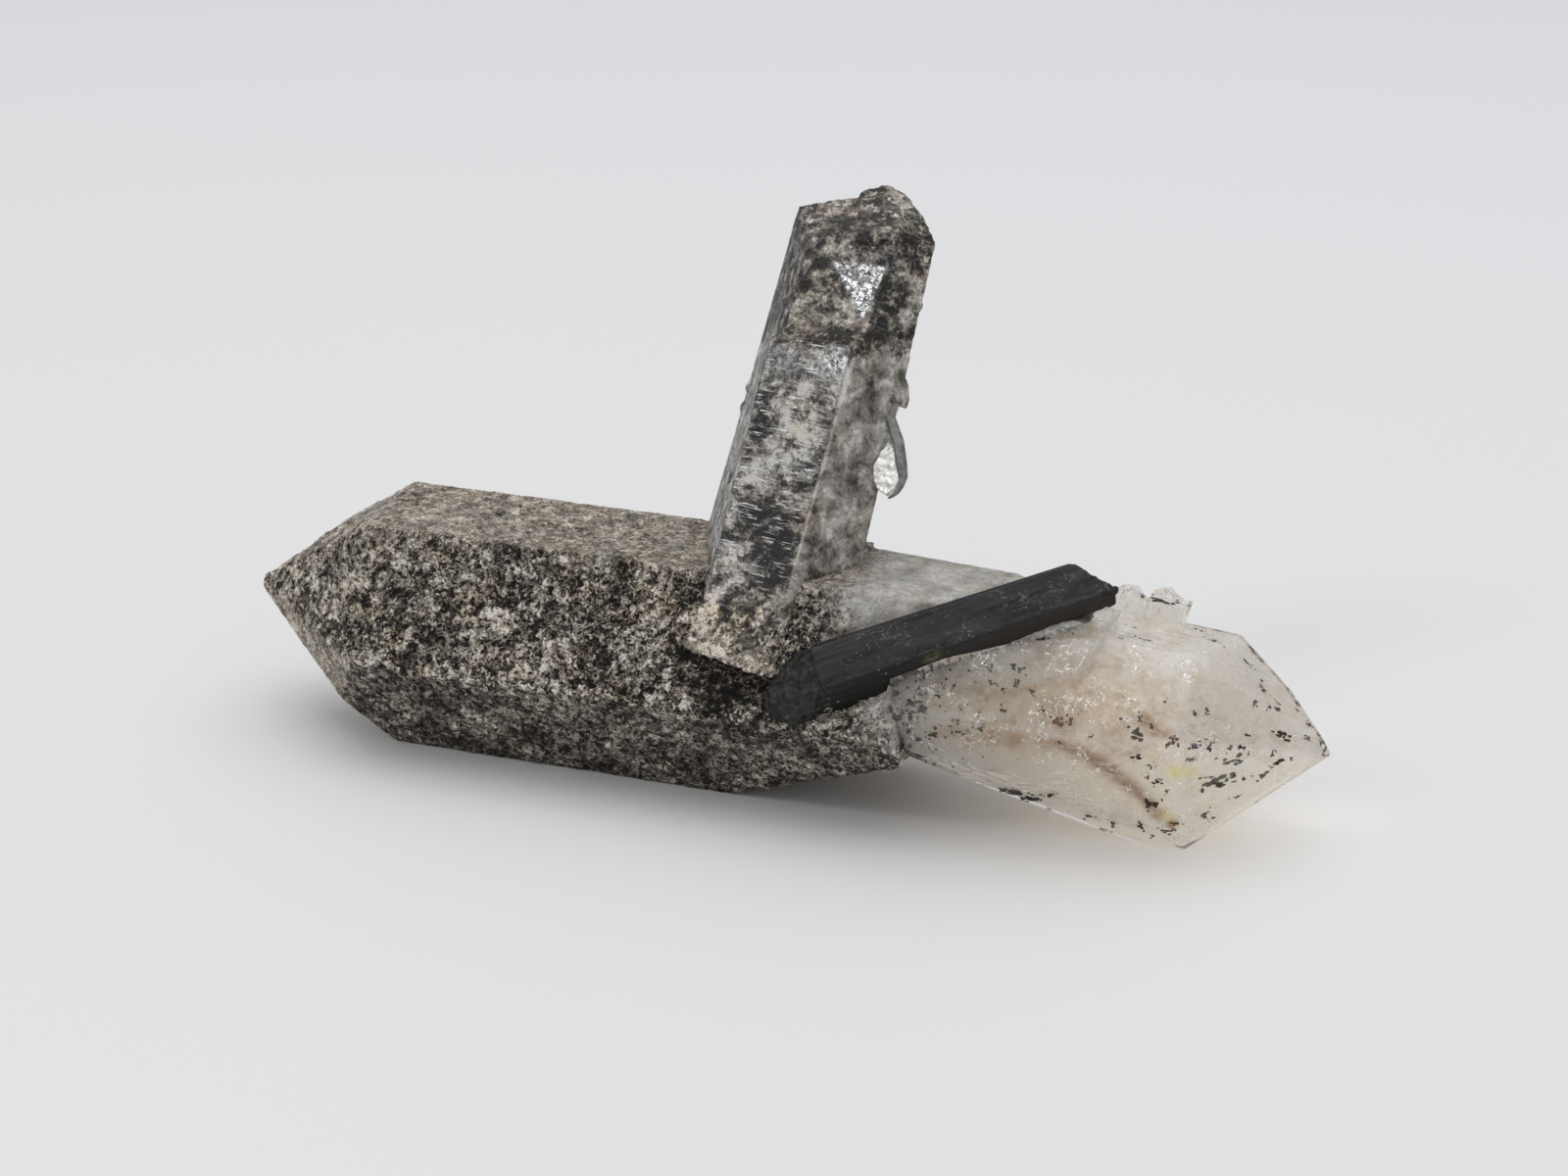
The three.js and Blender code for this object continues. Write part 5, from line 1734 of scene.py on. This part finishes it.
def soft_light(name, place, target, power, size, colour):
    """A round soft lamp that faces its target."""
    data = bpy.data.lights.new(name, "AREA")
    data.energy, data.shape, data.size, data.color = power, "DISK", size, colour
    lamp = added(name, data)
    lamp.location = place
    lamp.rotation_euler = (Vector(target) - Vector(place)).to_track_quat("-Z", "Y").to_euler()


def room_light(strength):
    """Light from all round, stronger from above."""
    world = bpy.data.worlds.new("Room")
    world.use_nodes = True
    world.node_tree.nodes.clear()
    graph = Graph(world.node_tree)
    direction = graph.add("ShaderNodeTexCoord").outputs["Generated"]
    height = graph.add("ShaderNodeSeparateXYZ", {0: direction}).outputs[2]
    values = {"Color": graph.ramp(height, ROOM_TONES), "Strength": strength}
    background = graph.add("ShaderNodeBackground", values)
    graph.add("ShaderNodeOutputWorld", {"Surface": background.outputs[0]})
    return world


class SPECIMEN_OT_stage(bpy.types.Operator):
    """Pale table, soft lights and the camera"""

    bl_idname = "specimen.stage"
    bl_label = "Stage"

    def execute(self, context):
        bpy.ops.object.select_all(action="DESELECT")
        bpy.ops.mesh.primitive_plane_add(size=TABLE_SIZE, location=(0, 0.3, 0))
        floor = settle(named("pale_table"))
        paint(floor, floor_material())

        soft_light("overhead", (0.02, 0.10, 0.55), (0, 0, 0), looks().lamp, 0.8, WHITE)
        soft_light("window", (-0.34, -0.36, 0.42), (0, 0, 0.01), 0.35, 0.12, (1.0, 0.99, 0.97))
        context.scene.world = room_light(looks().daylight)
        context.scene.view_settings.view_transform = "Standard"

        data = bpy.data.cameras.new("photo_view")
        data.lens, data.sensor_width = looks().lens, 36.0
        data.clip_start, data.clip_end = 0.01, 10.0
        camera = added("photo_view", data)
        target = ORIGIN + Vector((0, 0, AIM_HEIGHT)) * MM
        camera.location = target + CAMERA_SIDE * CAMERA_DISTANCE
        camera.rotation_euler = (-CAMERA_SIDE).to_track_quat("-Z", "Y").to_euler()
        context.scene.camera = camera
        return {"FINISHED"}


class SPECIMEN_PT_panel(bpy.types.Panel):
    """Lists the specimen's settings and its pieces, in the order in which they are made"""

    bl_idname = "SPECIMEN_PT_panel"
    bl_label = "Quartz specimen"
    bl_space_type = "VIEW_3D"
    bl_region_type = "UI"
    bl_category = "Specimen"

    def draw(self, context):
        for group in (context.scene.specimen_sizes, context.scene.specimen_looks):
            box = self.layout.box()
            for name in group.__annotations__:
                box.prop(group, name)
        for step in STEPS:
            self.layout.operator(step.bl_idname)


STEPS = (
    SPECIMEN_OT_stage,
    SPECIMEN_OT_long_crystal,
    SPECIMEN_OT_standing_crystal,
    SPECIMEN_OT_clear_quartz,
    SPECIMEN_OT_clouds,
    SPECIMEN_OT_veils,
    SPECIMEN_OT_grains,
    SPECIMEN_OT_side_crystals,
    SPECIMEN_OT_rod,
)
CLASSES = (SpecimenSizes, SpecimenLooks, *STEPS, SPECIMEN_PT_panel)


def register():
    for cls in CLASSES:
        bpy.utils.register_class(cls)
    bpy.types.Scene.specimen_sizes = bpy.props.PointerProperty(type=SpecimenSizes)
    bpy.types.Scene.specimen_looks = bpy.props.PointerProperty(type=SpecimenLooks)


def unregister():
    del bpy.types.Scene.specimen_looks
    del bpy.types.Scene.specimen_sizes
    for cls in reversed(CLASSES):
        bpy.utils.unregister_class(cls)


def main():
    register()
    for step in STEPS:
        group, name = step.bl_idname.split(".")
        getattr(getattr(bpy.ops, group), name)()


if __name__ == "__main__":
    main()
